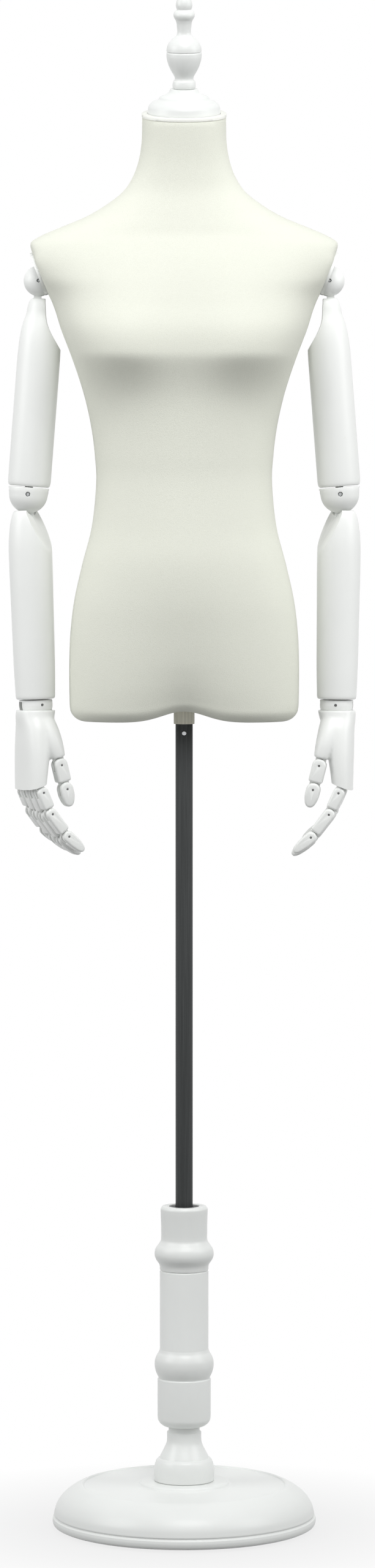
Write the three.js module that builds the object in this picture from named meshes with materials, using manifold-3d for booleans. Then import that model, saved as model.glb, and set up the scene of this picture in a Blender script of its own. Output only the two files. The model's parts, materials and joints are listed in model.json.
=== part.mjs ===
// Dress form mannequin: a fabric-covered torso with jointed wooden arms and hands,
// on a steel pole that slides in a turned wooden column on a round base.
// Millimetres, +Z up, the origin at the centre of the underside of the base.
// The chest faces -Y. Right and left are the mannequin's own: its right arm is at -X.

import * as THREE from 'three';
import { mergeVertices } from 'three/addons/utils/BufferGeometryUtils.js';
import Module from 'manifold-3d';

const wasm = await Module();
wasm.setup();

// Fits and clearances
const GAP = 0.3; // between pieces that lie on each other
const JOINT_GAP = 0.6; // between faces that turn past each other

// Stand
const FELT = { inner: 100, outer: 150, height: 3 };
const BASE = { radius: 169.3, rim: 16, top: 55, recess: 131.5, seat: 57, seatTop: 60 };
const BOLT = { radius: 5, headRadius: 9, headHeight: 6, top: 74 };
const POLE = { radius: 11, wall: 1.8, bottom: 325, inTorso: 83 };
const TUBE = { wall: 2.2, floorTop: 76, top: 394 };
const FOOT = { radius: 38.5, neck: 22, neckTop: 124, spigot: 20, top: 131 };
const COLUMN = {
  radius: 34.2, bead: 38, middle: 31.2, upper: 29.5, lowerBead: 211, upperBead: 353, top: 415,
};
const BUSH = { radius: 19, height: 20 };
const BUTTON = { radius: 3, depth: 4.7, below: 11.5, proud: 0.9 };

// Torso: its heights run up from its lower edge
const COVER = 1.5; // thickness of the fabric
const CORE_INSET = COVER + GAP;
const TORSO_BOTTOM = 1037;
const ARCH = { height: 14, width: 38, fade: 73 };
const BUST = { depth: 45, up: 469, above: 88, below: 40, crease: 1.5, wide: 120, edge: 62 };
const BUST_VALLEY = { share: 0.6, width: 50 };
const SEAT = { depth: 8, x: 62, up: 75, spreadX: 42, spreadZ: 48 };
const GROIN = { depth: 20, width: 60, top: 225, height: 212 };
const TORSO_SIDES = 26;
const TORSO_RINGS = 19;
const NECK = { up: 769.5, tilt: 11.5, forward: 14, root: 653 };
const CAP = { radius: 46, height: 30.8, socket: 20 };
const CAP_SIDES = 22;
const FINIAL = { stud: 5, foot: 14.3, footTop: 9.3, urn: 22.4, urnUp: 42.9, neck: 9, neckUp: 67.7 };
const FINIAL_TOP = { bead: 13.1, beadUp: 90.4, knob: 10.2, knobUp: 103.9, height: 117.2 };
const COLLAR = { wall: 2, hang: 3.5, flange: 34, flangeUp: 17, flangeHeight: 4, cap: 5 };
const ARMHOLE = { x: 181.5, up: 563, tilt: 20.9, below: 27, above: 120 };
const PLATE = { halfHeight: 29, halfWidth: 38, depth: 9, proud: 3, up: 5 };
const BALL_SEAT = { depth: 6, down: 3, margin: 2.5 };

// Arms: a span is the way from pin to pin, and a drop runs down from the pin at the upper end
const SHOULDER = { radius: 20.5, barrel: 20.5, drop: 7, web: 1.8, slot: 14.6, pin: 2, stud: 5 };
const UPPER_ARM = { span: 270, radius: 27.3, offset: 7.2, lean: 4.45, neck: 19, neckDrop: 30, full: 86 };
const ARM_SCOOP = [[10, -5], [10, -25], [14.7, -53.6], [36, -88], [70, -88], [70, -5]];
const ELBOW = { radius: 25.5, barrel: 26, drop: 8.5, web: 2, slot: 14.6, pin: 2.7, stud: 5 };
const FOREARM = { span: 268, radius: 27.7, wrist: 25.4, neck: 20.5, neckDrop: 20.6, full: 88 };
const FOREARM_SCOOP = [[4, -5], [4, -23], [31, -81], [70, -81], [70, -5]];
const SCOOP = { width: 80, turn: 20 }; // turned a little towards the front
const WRIST = { radius: 21.6, barrel: 21.4, drop: 6, web: 1.6, slot: 9.6, pin: 1.6, stud: 4 };
const STUD_LENGTH = 24;
const BALL_SIDES = 14;
const LIMB_SIDES = 16;
const PIN_SIDES = 8;
const DIGIT_PIN_SIDES = 6;
const END_GAP = 0.5; // the dark line between a limb's end and the ball below it

// How each arm hangs: the forearm leans inwards, and the hand is turned about its length
const SIDES = [
  { name: 'right', x: -1, lean: 1.9, turn: 25 },
  { name: 'left', x: 1, lean: 0.8, turn: 5 },
];

// Hands: X is the way the palm faces, Y runs from the index to the little finger
const PALM = { span: 103.5, slant: 20, centre: -7.5 };
const KNUCKLE_GAP = 0.7; // between the end face of one piece and the round top of the next
const FINGER = { halfWidth: 8.2, halfDepth: 7.5, tongue: 5, pin: 1.4, bevel: 2.4 };
const FINGER_BENDS = [24, 14, 12];
const FINGERS = [
  { name: 'index', y: -28, lengths: [30, 37, 33] },
  { name: 'middle', y: -9.3, lengths: [33, 39, 34] },
  { name: 'ring', y: 9.3, lengths: [31, 37, 33] },
  { name: 'little', y: 27.5, lengths: [27, 32, 29] },
];
const THUMB = { x: 20, y: -29, drop: 76.5, lean: 14, halfDepth: 9, lengths: [31.6, 26] };
const THUMB_ROOT = { x: 3, y: -10, drop: 22, radius: 17, end: 12.5 };

// Materials
const material = (color, roughness, metalness) =>
  new THREE.MeshStandardMaterial({ color, roughness, metalness });
const FABRIC = material(0xe9eadf, 0.9, 0);
const FOAM = material(0xd9cfb8, 0.95, 0);
const PAINTED_WOOD = material(0xe6e9e5, 0.4, 0);
const CREAM_TUBE = material(0xe4dfce, 0.5, 0);
const BLACK_STEEL = material(0x2b2c2d, 0.45, 0.6);
const BRIGHT_STEEL = material(0xb9bcbd, 0.35, 1);
const BLACK_PLASTIC = material(0x222324, 0.6, 0);
const GREY_FELT = material(0x5c5d5c, 0.95, 0);

const radians = THREE.MathUtils.degToRad;
const bump = (distance, spread) => Math.exp(-((distance / spread) ** 2));

// A closed mesh with its shared vertices merged and its flat triangles dropped
function closed(geometry) {
  const bare = new THREE.BufferGeometry();
  bare.setAttribute('position', geometry.getAttribute('position').clone());
  if (geometry.index) bare.setIndex(geometry.index.clone());
  const merged = mergeVertices(bare, 1e-3);
  const kept = [];
  const index = merged.index.array;
  for (let i = 0; i < index.length; i += 3) {
    const [a, b, c] = [index[i], index[i + 1], index[i + 2]];
    if (a !== b && b !== c && c !== a) kept.push(a, b, c);
  }
  merged.setIndex(kept);
  if (volume(merged) < 0) flip(merged);
  return merged;
}

function volume(geometry) {
  const points = geometry.getAttribute('position');
  const index = geometry.index.array;
  const [a, b, c] = [new THREE.Vector3(), new THREE.Vector3(), new THREE.Vector3()];
  let sum = 0;
  for (let i = 0; i < index.length; i += 3) {
    a.fromBufferAttribute(points, index[i]);
    b.fromBufferAttribute(points, index[i + 1]);
    c.fromBufferAttribute(points, index[i + 2]);
    sum += a.dot(b.cross(c)) / 6;
  }
  return sum;
}

function flip(geometry) {
  const index = Array.from(geometry.index.array);
  for (let i = 0; i < index.length; i += 3) {
    [index[i + 1], index[i + 2]] = [index[i + 2], index[i + 1]];
  }
  geometry.setIndex(index);
}

// Between three.js geometry and solids that can be joined and cut
function solid(geometry) {
  const body = closed(geometry);
  const vertProperties = new Float32Array(body.getAttribute('position').array);
  const triVerts = new Uint32Array(body.index.array);
  return new wasm.Manifold(new wasm.Mesh({ numProp: 3, vertProperties, triVerts }));
}

function geometryOf(body) {
  const { vertProperties, triVerts } = body.getMesh();
  const geometry = new THREE.BufferGeometry();
  geometry.setAttribute('position', new THREE.BufferAttribute(vertProperties, 3));
  geometry.setIndex(new THREE.BufferAttribute(triVerts, 1));
  return closed(geometry);
}

function cut(geometry, ...tools) {
  return geometryOf(tools.reduce((body, tool) => body.subtract(solid(tool)), solid(geometry)));
}

function join(geometry, ...others) {
  return geometryOf(others.reduce((body, other) => body.add(solid(other)), solid(geometry)));
}

// Turned piece about +Z. The profile is a list of [radius, height] from the axis round to it
function turned(profile, sides) {
  const points = profile.map(([radius, height]) => new THREE.Vector2(radius, height));
  return closed(new THREE.LatheGeometry(points, sides).rotateX(Math.PI / 2));
}

// Turned ring about +Z, whose profile closes on itself
const ring = (profile, sides) => turned([...profile, profile[0]], sides);

function cylinder(radius, bottom, top, sides = 24) {
  const body = new THREE.CylinderGeometry(radius, radius, top - bottom, sides);
  return closed(body.rotateX(Math.PI / 2).translate(0, 0, (bottom + top) / 2));
}

// Round bar along Y through the origin
function crossBar(radius, length, sides = 12) {
  return closed(new THREE.CylinderGeometry(radius, radius, length, sides));
}

function box(sizeX, sizeY, sizeZ, x = 0, y = 0, z = 0) {
  return new THREE.BoxGeometry(sizeX, sizeY, sizeZ).translate(x, y, z);
}

// Outline in X and Z, extruded along Y and centred on it
function plate(outline, thickness, bevel = 0) {
  const shape = new THREE.Shape(outline.map(([x, z]) => new THREE.Vector2(x, z)));
  const body = new THREE.ExtrudeGeometry(shape, {
    depth: thickness - 2 * bevel,
    bevelEnabled: bevel > 0,
    bevelSize: bevel,
    bevelThickness: bevel,
    bevelOffset: -bevel,
    bevelSegments: 1,
    steps: 1,
  });
  body.translate(0, 0, bevel - thickness / 2);
  return closed(body.rotateX(Math.PI / 2));
}

// Skin over rings of equal count, closed by a fan at each end
function loft(rings) {
  const sides = rings[0].length;
  const points = rings.flat();
  const index = [];
  for (let row = 0; row < rings.length - 1; row += 1) {
    for (let side = 0; side < sides; side += 1) {
      const a = row * sides + side;
      const b = row * sides + ((side + 1) % sides);
      index.push(a, b, b + sides, a, b + sides, a + sides);
    }
  }
  for (const row of [0, rings.length - 1]) {
    const centre = new THREE.Vector3();
    rings[row].forEach((point) => centre.add(point));
    points.push(centre.divideScalar(sides));
    for (let side = 0; side < sides; side += 1) {
      const pair = [row * sides + side, row * sides + ((side + 1) % sides)];
      if (row === 0) pair.reverse();
      index.push(...pair, points.length - 1);
    }
  }
  const geometry = new THREE.BufferGeometry().setFromPoints(points);
  geometry.setIndex(index);
  return closed(geometry);
}

// Everything on the outer side of a plane: local +Z of the frame points away from the body
function beyond(frame, inset = 0) {
  const size = 500;
  return box(size, size, size, 0, 0, size / 2 - inset).applyMatrix4(frame);
}

function frameAt(position, rotation) {
  const turn = new THREE.Quaternion().setFromEuler(new THREE.Euler(...rotation));
  return new THREE.Matrix4().compose(position, turn, new THREE.Vector3(1, 1, 1));
}

const root = new THREE.Group();

function add(parent, name, geometry, look) {
  const mesh = new THREE.Mesh(geometry, look);
  mesh.name = name;
  parent.add(mesh);
  return mesh;
}

function groupAt(parent, x, y, z) {
  const group = new THREE.Group();
  group.position.set(x, y, z);
  parent.add(group);
  return group;
}

// Stand
const boltHole = BOLT.radius + GAP;
const tubeInner = POLE.radius + GAP;
const tubeOuter = tubeInner + TUBE.wall;
const tubeHole = tubeOuter + GAP;
const headRecess = BOLT.headRadius + 3;
const headTop = FELT.height + BOLT.headHeight + 2;
const poleTop = TORSO_BOTTOM + POLE.inTorso;
const collarBottom = TORSO_BOTTOM - COLLAR.hang;

function baseDisc() {
  const { radius, rim, top, recess, seat, seatTop } = BASE;
  return ring([
    [headRecess, FELT.height],
    [radius - 5, FELT.height],
    [radius, rim - 6],
    [radius - 0.6, rim - 2],
    [radius - 2.6, rim],
    [radius - 1.8, rim + 2],
    [radius - 10, top - 19],
    [radius - 22, top - 7],
    [recess, top + 0.8],
    [recess - 1.2, top - 0.8],
    [seat + 2, top],
    [seat - 1, seatTop],
    [boltHole, seatTop],
    [boltHole, headTop],
    [headRecess, headTop],
  ], 32);
}

function columnFoot() {
  const { radius, neck, neckTop, spigot, top } = FOOT;
  return ring([
    [tubeHole, BASE.seatTop],
    [radius - 2, BASE.seatTop],
    [radius, BASE.seatTop + 2],
    [radius, neckTop - 44],
    [radius - 3.5, neckTop - 36],
    [radius - 6.8, neckTop - 34],
    [radius - 10, neckTop - 28],
    [neck + 2, neckTop - 19],
    [neck, neckTop - 10],
    [neck, neckTop],
    [spigot, neckTop + 1],
    [spigot, top],
    [tubeHole, top],
  ], 20);
}

function column() {
  const { radius, bead, middle, upper, lowerBead, upperBead, top } = COLUMN;
  const bushHole = BUSH.radius + GAP;
  return ring([
    [tubeHole, FOOT.top],
    [radius - 10.2, FOOT.top],
    [radius - 3, FOOT.top + 4],
    [radius, FOOT.top + 11],
    [radius, lowerBead - 19],
    [radius - 1.2, lowerBead - 17.6],
    [bead - 1.6, lowerBead - 10],
    [bead, lowerBead],
    [bead - 1.6, lowerBead + 10],
    [middle + 0.3, lowerBead + 17.5],
    [middle, upperBead - 22],
    [middle - 1.2, upperBead - 20.8],
    [middle, upperBead - 19.6],
    [middle, upperBead - 13.5],
    [bead - 1.4, upperBead - 6],
    [bead, upperBead],
    [bead - 1.2, upperBead + 8],
    [upper + 0.6, upperBead + 17.5],
    [upper, upperBead + 21],
    [upper + 0.7, top - 5],
    [upper - 1.5, top],
    [bushHole, top],
    [bushHole, top - BUSH.height - GAP],
    [tubeHole, top - BUSH.height - GAP],
  ], 20);
}

function guideTube() {
  return ring([
    [boltHole, BASE.seatTop],
    [tubeOuter, BASE.seatTop],
    [tubeOuter, TUBE.top],
    [tubeInner, TUBE.top],
    [tubeInner, TUBE.floorTop],
    [boltHole, TUBE.floorTop],
  ], 16);
}

function baseBolt() {
  const underHead = headTop - GAP;
  return turned([
    [0, underHead - BOLT.headHeight],
    [BOLT.headRadius, underHead - BOLT.headHeight],
    [BOLT.headRadius, underHead],
    [BOLT.radius, underHead],
    [BOLT.radius, BOLT.top],
    [0, BOLT.top],
  ], 12);
}

function poleBush() {
  const bottom = COLUMN.top - BUSH.height;
  return ring([
    [tubeInner, bottom],
    [BUSH.radius, bottom],
    [BUSH.radius, COLUMN.top - 1],
    [tubeInner, COLUMN.top - 1],
  ], 16);
}

function tube(outer, inner, bottom, top, sides) {
  return ring([[inner, bottom], [outer, bottom], [outer, top], [inner, top]], sides);
}

// A spring button looks out of a hole in the front of the pole, just below the collar
const buttonHeight = collarBottom - BUTTON.below;
const buttonAt = new THREE.Vector3(0, -POLE.radius - BUTTON.proud, buttonHeight);

function pole() {
  const hole = crossBar(BUTTON.radius + GAP, POLE.radius, 8);
  hole.translate(0, -POLE.radius, buttonHeight);
  return cut(tube(POLE.radius, POLE.radius - POLE.wall, POLE.bottom, poleTop, 20), hole);
}

function poleButton() {
  const { radius, proud, depth } = BUTTON;
  const profile = [[0, 0], [radius * 0.6, 0.15], [radius, proud], [radius, depth], [0, depth]];
  return turned(profile, 8).rotateX(-Math.PI / 2);
}

const standGroup = groupAt(root, 0, 0, 0);
const feltRing = tube(FELT.outer, FELT.inner, 0, FELT.height, 32);
add(standGroup, 'base_felt', feltRing, GREY_FELT);
add(standGroup, 'base_disc', baseDisc(), PAINTED_WOOD);
add(standGroup, 'column_foot', columnFoot(), PAINTED_WOOD);
add(standGroup, 'column', column(), PAINTED_WOOD);
add(standGroup, 'guide_tube', guideTube(), BRIGHT_STEEL);
add(standGroup, 'base_bolt', baseBolt(), BRIGHT_STEEL);
add(standGroup, 'pole_bush', poleBush(), BLACK_PLASTIC);
add(standGroup, 'pole', pole(), BLACK_STEEL);
add(standGroup, 'pole_button', poleButton(), BRIGHT_STEEL).position.copy(buttonAt);

// Torso: height above its lower edge, half width, depth to the front and depth to the back
const TORSO_STATIONS = [
  [19, 146, 80, 104],
  [43, 146.5, 84, 110],
  [75, 146.5, 87.5, 110],
  [112, 145, 90.5, 105],
  [154, 140, 93.5, 96],
  [201, 129.5, 93.5, 82],
  [248, 117.5, 89, 71],
  [302, 112, 85.5, 66],
  [337, 113.5, 86.5, 70],
  [373, 118, 88.5, 79],
  [408, 125.5, 91, 88],
  [437, 134, 94, 95],
  [467, 144.5, 97, 99],
  [497, 156, 98, 101],
  [525, 165, 94.5, 101],
  [541, 174, 92.5, 100],
  [561, 193, 89, 97],
  [583, 205, 83, 92],
  [602, 202, 76, 84],
  [615, 183, 71, 77],
  [627, 155, 68, 72],
  [639.5, 125, 65, 67],
  [654, 100, 61.5, 62],
  [671, 78, 57.5, 57],
  [689, 65.5, 54.5, 53.5],
  [707, 58.5, 52, 51],
  [727, 54.5, 50.5, 50],
  [749, 53.2, 50, 50],
  [803, 53.2, 50, 50],
];

// The station at a share of the way up, on one smooth curve through all of them
function torsoStation(share) {
  const along = share * (TORSO_STATIONS.length - 1);
  const first = Math.min(Math.floor(along), TORSO_STATIONS.length - 2);
  const near = [first - 1, first, first + 1, first + 2].map((row) =>
    TORSO_STATIONS[THREE.MathUtils.clamp(row, 0, TORSO_STATIONS.length - 1)]);
  const t = along - first;
  return near[0].map((value, item) => {
    const [p0, p1, p2, p3] = near.map((row) => row[item]);
    const rise = (p2 - p0) / 2;
    const next = (p3 - p1) / 2;
    const cubic = (2 * (p1 - p2) + rise + next) * t + 3 * (p2 - p1) - 2 * rise - next;
    return (cubic * t + rise) * t + p1;
  });
}

// How much of the bust's depth there is: a shallow valley in the middle, a soft crease below
function bustShare(x, up) {
  const valley = 1 - BUST_VALLEY.share * bump(x, BUST_VALLEY.width);
  const across = valley * bump(Math.max(Math.abs(x) - BUST.wide, 0), BUST.edge);
  const over = up - BUST.up;
  return over > 0
    ? across * bump(over, BUST.above)
    : across * Math.exp(-((-over / BUST.below) ** BUST.crease));
}

// The section at one height, with the bust, the seat, the leaning neck, and the hollow and arch
// between the thighs
function torsoRing([up, halfWidth, front, back], inset = 0) {
  const points = [];
  for (let side = 0; side < TORSO_SIDES; side += 1) {
    const angle = (side / TORSO_SIDES) * Math.PI * 2;
    const power = 2 / 2.25;
    const across = Math.sign(Math.cos(angle)) * Math.abs(Math.cos(angle)) ** power;
    const deep = Math.sign(Math.sin(angle)) * Math.abs(Math.sin(angle)) ** power;
    const x = across * (halfWidth - inset);
    let y = deep * ((deep < 0 ? front : back) - inset);
    const facing = Math.abs(deep);
    const hollow = THREE.MathUtils.clamp((GROIN.top - up) / GROIN.height, 0, 1) ** 2;
    const groin = bump(x, GROIN.width) * hollow;
    const seat = bump(Math.abs(x) - SEAT.x, SEAT.spreadX) * bump(up - SEAT.up, SEAT.spreadZ);
    y += facing * (deep < 0 ? GROIN.depth * groin - BUST.depth * bustShare(x, up) : SEAT.depth * seat);
    y -= NECK.forward * THREE.MathUtils.smoothstep(up, NECK.root, NECK.up);
    const low = THREE.MathUtils.clamp((ARCH.fade - up) / ARCH.fade, 0, 1);
    const z = TORSO_BOTTOM + up + ARCH.height * bump(x, ARCH.width) * low;
    points.push(new THREE.Vector3(x, y, z));
  }
  return points;
}

// The whole torso skin, moved inwards along its normals, before its openings are cut
function torsoSkin(inset) {
  const [, halfWidth, front, back] = TORSO_STATIONS[0];
  const bottomRing = (up, inwards) => torsoRing([up, halfWidth, front, back], inwards);
  const rings = [
    bottomRing(0, 62),
    bottomRing(0, 20),
    bottomRing(1.5, 11.5),
    bottomRing(7, 4),
  ];
  for (let row = 0; row <= TORSO_RINGS; row += 1) {
    rings.push(torsoRing(torsoStation(row / TORSO_RINGS)));
  }
  const skin = loft(rings);
  skin.computeVertexNormals();
  const points = skin.getAttribute('position');
  const normals = skin.getAttribute('normal');
  for (let i = 0; i < points.count; i += 1) {
    points.setXYZ(
      i,
      points.getX(i) - normals.getX(i) * inset,
      points.getY(i) - normals.getY(i) * inset,
      points.getZ(i) - normals.getZ(i) * inset,
    );
  }
  return skin;
}

// Frames whose +Z points out of the neck and out of each armhole
const neckHeight = TORSO_BOTTOM + NECK.up;
const neckFrame = frameAt(
  new THREE.Vector3(0, -NECK.forward, neckHeight),
  [radians(NECK.tilt), 0, 0],
);
const armholeFrame = (side) => frameAt(
  new THREE.Vector3(side * ARMHOLE.x, 0, TORSO_BOTTOM + ARMHOLE.up),
  [0, side * radians(90 + ARMHOLE.tilt), 0],
);

// The flat side of an armhole, which ends just below the shoulder plate
function armholeTrim(side, inset) {
  const { above, below } = ARMHOLE;
  const depth = 200;
  const height = above + below;
  const body = box(height, 2 * depth, depth, (-side * (above - below)) / 2, 0, depth / 2 - inset);
  return body.applyMatrix4(armholeFrame(side));
}

function torsoSolid(inset) {
  const trims = SIDES.map(({ x }) => armholeTrim(x, inset));
  return cut(torsoSkin(inset), beyond(neckFrame, inset), ...trims);
}

// The shoulder plate's oval outline, in an armhole frame
function plateBody(side, margin, bottom, top) {
  const body = cylinder(1, bottom, top, 18);
  body.scale(PLATE.halfHeight + margin, PLATE.halfWidth + margin, 1);
  return body.translate(side * -PLATE.up, 0, 0);
}

const collarOuter = tubeInner + COLLAR.wall;
const collarTop = poleTop + GAP + COLLAR.cap;
const flangeBottom = TORSO_BOTTOM + COLLAR.flangeUp;
const flangeTop = flangeBottom + COLLAR.flangeHeight;

// The shoulder ball sits in a round seat in the plate, and its stud goes on into the core
const seatFloor = PLATE.proud - BALL_SEAT.depth;
const ballPin = (side) => new THREE.Vector3(
  side * BALL_SEAT.down,
  0,
  seatFloor + GAP + SHOULDER.drop,
);

function shoulderStudHole(side) {
  const hole = cylinder(SHOULDER.stud + GAP, seatFloor - STUD_LENGTH - GAP, 0, 10);
  return hole.translate(side * BALL_SEAT.down, 0, 0);
}

function shoulderPlate(side) {
  const seat = cylinder(SHOULDER.barrel + BALL_SEAT.margin, seatFloor, 20, 16);
  return cut(
    plateBody(side, 0, -PLATE.depth, PLATE.proud),
    seat.translate(side * BALL_SEAT.down, 0, 0),
    shoulderStudHole(side),
  );
}

function torsoCore() {
  const platePockets = SIDES.map(({ x }) =>
    plateBody(x, GAP, -PLATE.depth - GAP, 30).applyMatrix4(armholeFrame(x)));
  const studHoles = SIDES.map(({ x }) => shoulderStudHole(x).applyMatrix4(armholeFrame(x)));
  return cut(
    torsoSolid(CORE_INSET),
    cylinder(collarOuter + GAP, TORSO_BOTTOM - 20, collarTop + GAP, 16),
    cylinder(COLLAR.flange + GAP, TORSO_BOTTOM - 20, flangeTop + GAP, 16),
    ...platePockets,
    ...studHoles,
  );
}

function torsoCover() {
  const plateOpenings = SIDES.map(({ x }) =>
    plateBody(x, GAP, -PLATE.depth - GAP, 30).applyMatrix4(armholeFrame(x)));
  const neckOpening = cylinder(CAP.radius + GAP, -10, 10, CAP_SIDES).applyMatrix4(neckFrame);
  const collarHole = cylinder(collarOuter + GAP, TORSO_BOTTOM - 20, flangeTop, 16);
  return cut(torsoSolid(0), torsoSolid(COVER), neckOpening, collarHole, ...plateOpenings);
}

function poleCollar() {
  return turned([
    [0, poleTop + GAP],
    [tubeInner, poleTop + GAP],
    [tubeInner, collarBottom],
    [collarOuter, collarBottom],
    [collarOuter, flangeBottom],
    [COLLAR.flange, flangeBottom],
    [COLLAR.flange, flangeTop],
    [collarOuter, flangeTop],
    [collarOuter, collarTop],
    [0, collarTop],
  ], 16);
}

function neckCap() {
  const socket = FINIAL.stud + GAP;
  const { radius, height } = CAP;
  return turned([
    [0, -COVER],
    [radius - 1, -COVER],
    [radius, 0],
    [radius, 4],
    [radius - 3.8, height - 18.8],
    [radius - 6.5, height - 16.3],
    [radius - 13, height - 13.3],
    [radius - 15, height - 10.3],
    [radius - 24, height - 6.3],
    [radius - 27.4, height - 3.3],
    [radius - 29, height],
    [socket, height],
    [socket, height - CAP.socket],
    [0, height - CAP.socket],
  ], CAP_SIDES);
}

function finial() {
  const { stud, foot, footTop, urn, urnUp, neck, neckUp } = FINIAL;
  const { bead, beadUp, knob, knobUp, height } = FINIAL_TOP;
  const bottom = CAP.height + GAP;
  const studEnd = bottom - CAP.socket + 2;
  return turned([
    [0, studEnd],
    [stud, studEnd],
    [stud, bottom],
    [foot, bottom + 1],
    [foot, bottom + footTop],
    [foot - 2.5, bottom + footTop + 2.6],
    [urn - 7.4, bottom + urnUp - 23],
    [urn - 2.2, bottom + urnUp - 11.5],
    [urn, bottom + urnUp],
    [urn - 0.8, bottom + urnUp + 3.4],
    [urn - 0.2, bottom + urnUp + 5],
    [urn - 2.4, bottom + urnUp + 13.5],
    [neck + 5, bottom + neckUp - 4.3],
    [neck, bottom + neckUp],
    [neck + 0.4, bottom + neckUp + 13.2],
    [bead - 2.3, bottom + beadUp - 4],
    [bead, bottom + beadUp],
    [bead - 0.1, bottom + beadUp + 4.5],
    [neck + 0.3, bottom + beadUp + 8.5],
    [knob, bottom + knobUp],
    [knob - 1.7, bottom + knobUp + 8.5],
    [0, bottom + height],
  ], 14);
}

const torsoGroup = groupAt(root, 0, 0, 0);
add(torsoGroup, 'pole_collar', poleCollar(), CREAM_TUBE);
add(torsoGroup, 'torso_core', torsoCore(), FOAM);
add(torsoGroup, 'torso_cover', torsoCover(), FABRIC);
const neckGroup = groupAt(torsoGroup, 0, -NECK.forward, neckHeight);
neckGroup.rotation.x = radians(NECK.tilt);
add(neckGroup, 'neck_cap', neckCap(), PAINTED_WOOD);
add(neckGroup, 'finial', finial(), PAINTED_WOOD);

const jointPin = ({ radius, pin }) => crossBar(pin, 2 * (radius - 3.5), PIN_SIDES);

// Half ball of a joint: its pin lies along Y through the origin and its flat face is up
function jointBall(ball, hasOwnPin = false) {
  const { radius, barrel, drop, web, slot, pin, stud } = ball;
  const arc = [];
  const steps = 4;
  for (let step = 1; step <= steps; step += 1) {
    const angle = (step / steps) * (Math.PI / 2);
    arc.push([radius * Math.sin(angle), -radius * Math.cos(angle)]);
  }
  const body = turned([
    [0, -radius],
    ...arc,
    [barrel, drop * 0.25],
    [barrel, drop],
    [stud, drop],
    [stud, drop + STUD_LENGTH],
    [0, drop + STUD_LENGTH],
  ], BALL_SIDES);
  const slotTop = drop - web;
  const slotBottom = -radius - 1;
  const opening = box(3 * radius, slot, slotTop - slotBottom, 0, 0, (slotTop + slotBottom) / 2);
  if (hasOwnPin) return join(cut(body, opening), jointPin(ball));
  return cut(body, opening, crossBar(pin + GAP, 3 * radius, PIN_SIDES));
}

// Bar with a round end about a pin along Y, reaching up or down to the piece that it is part of
function tongue(halfWidth, reach, thickness) {
  const steps = 4;
  const outline = [[halfWidth, reach]];
  for (let step = 0; step <= steps; step += 1) {
    const angle = (step / steps) * Math.PI;
    const z = -Math.sign(reach) * halfWidth * Math.sin(angle);
    outline.push([halfWidth * Math.cos(angle), z]);
  }
  outline.push([-halfWidth, reach]);
  return plate(outline, thickness);
}

// The upper end of a limb: hollowed to clear the ball above, with a tongue round its pin
function withTongue(body, ball, reach) {
  const { barrel, radius, drop, web, slot, pin } = ball;
  const clear = Math.max(radius, Math.hypot(barrel, drop)) + JOINT_GAP;
  const hollow = new THREE.SphereGeometry(clear, 16, 11).rotateX(Math.PI / 2);
  const bar = tongue(drop - web - JOINT_GAP, -reach, slot - 2 * GAP);
  return cut(join(cut(body, hollow), bar), crossBar(pin + GAP, slot + 1, PIN_SIDES));
}

const studHole = (ball, x, end) =>
  cylinder(ball.stud + GAP, -end - 1, -end + STUD_LENGTH + 1, 10).translate(x, 0, 0);

function upperArm() {
  const { span, radius, offset, neck, neckDrop, full } = UPPER_ARM;
  const end = span - ELBOW.drop - END_GAP;
  const body = turned([
    [0, -end],
    [radius - 4, -end],
    [radius - 1, -end + 2],
    [radius, -end + 7],
    [radius, -full],
    [radius - 2.2, -full + 26],
    [neck + 1.4, -neckDrop - 13],
    [neck, -neckDrop],
    [neck - 4, -neckDrop + 7],
    [0, -neckDrop + 8],
  ], LIMB_SIDES).translate(offset, 0, 0);
  const scoop = plate(ARM_SCOOP, SCOOP.width);
  return cut(withTongue(cut(body, scoop), SHOULDER, 45), studHole(ELBOW, offset, end));
}

function forearm() {
  const { span, radius, wrist, neck, neckDrop, full } = FOREARM;
  const end = span - WRIST.drop - END_GAP;
  const body = turned([
    [0, -end],
    [wrist - 2.5, -end],
    [wrist - 0.5, -end + 2.5],
    [wrist, -end + 10],
    [radius - 0.5, -full - 52],
    [radius, -full],
    [radius - 0.5, -full + 31],
    [radius - 3, -neckDrop - 15.4],
    [neck, -neckDrop],
    [0, -neckDrop + 0.8],
  ], LIMB_SIDES);
  const scoop = plate(FOREARM_SCOOP, SCOOP.width).rotateZ(-radians(SCOOP.turn));
  return cut(withTongue(cut(body, scoop), ELBOW, 45), studHole(WRIST, 0, end));
}

// Palm: sections with depth below the wrist pin, centre and half sizes in X and Y
const PALM_SECTIONS = [
  { drop: 6, x: 0, y: 0, halfX: 24, halfY: 24 },
  { drop: 14, x: -1, y: 0, halfX: 23.4, halfY: 25.5 },
  { drop: 30, x: -3, y: -1, halfX: 20, halfY: 31 },
  { drop: 55, x: -5, y: -1, halfX: 17.5, halfY: 35.5 },
  { drop: 85, x: -7, y: -1, halfX: 14.6, halfY: 37 },
  { drop: 116, x: -8.5, y: -1, halfX: 12.5, halfY: 36 },
];
const PALM_SIDES = 14;

function palmRing({ drop, x, y, halfX, halfY }) {
  const points = [];
  for (let side = 0; side < PALM_SIDES; side += 1) {
    const angle = (side / PALM_SIDES) * Math.PI * 2;
    const power = 2 / 2.5;
    const acrossX = Math.sign(Math.cos(angle)) * Math.abs(Math.cos(angle)) ** power;
    const acrossY = Math.sign(Math.sin(angle)) * Math.abs(Math.sin(angle)) ** power;
    points.push(new THREE.Vector3(x + halfX * acrossX, y + halfY * acrossY, -drop));
  }
  return points;
}

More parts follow.
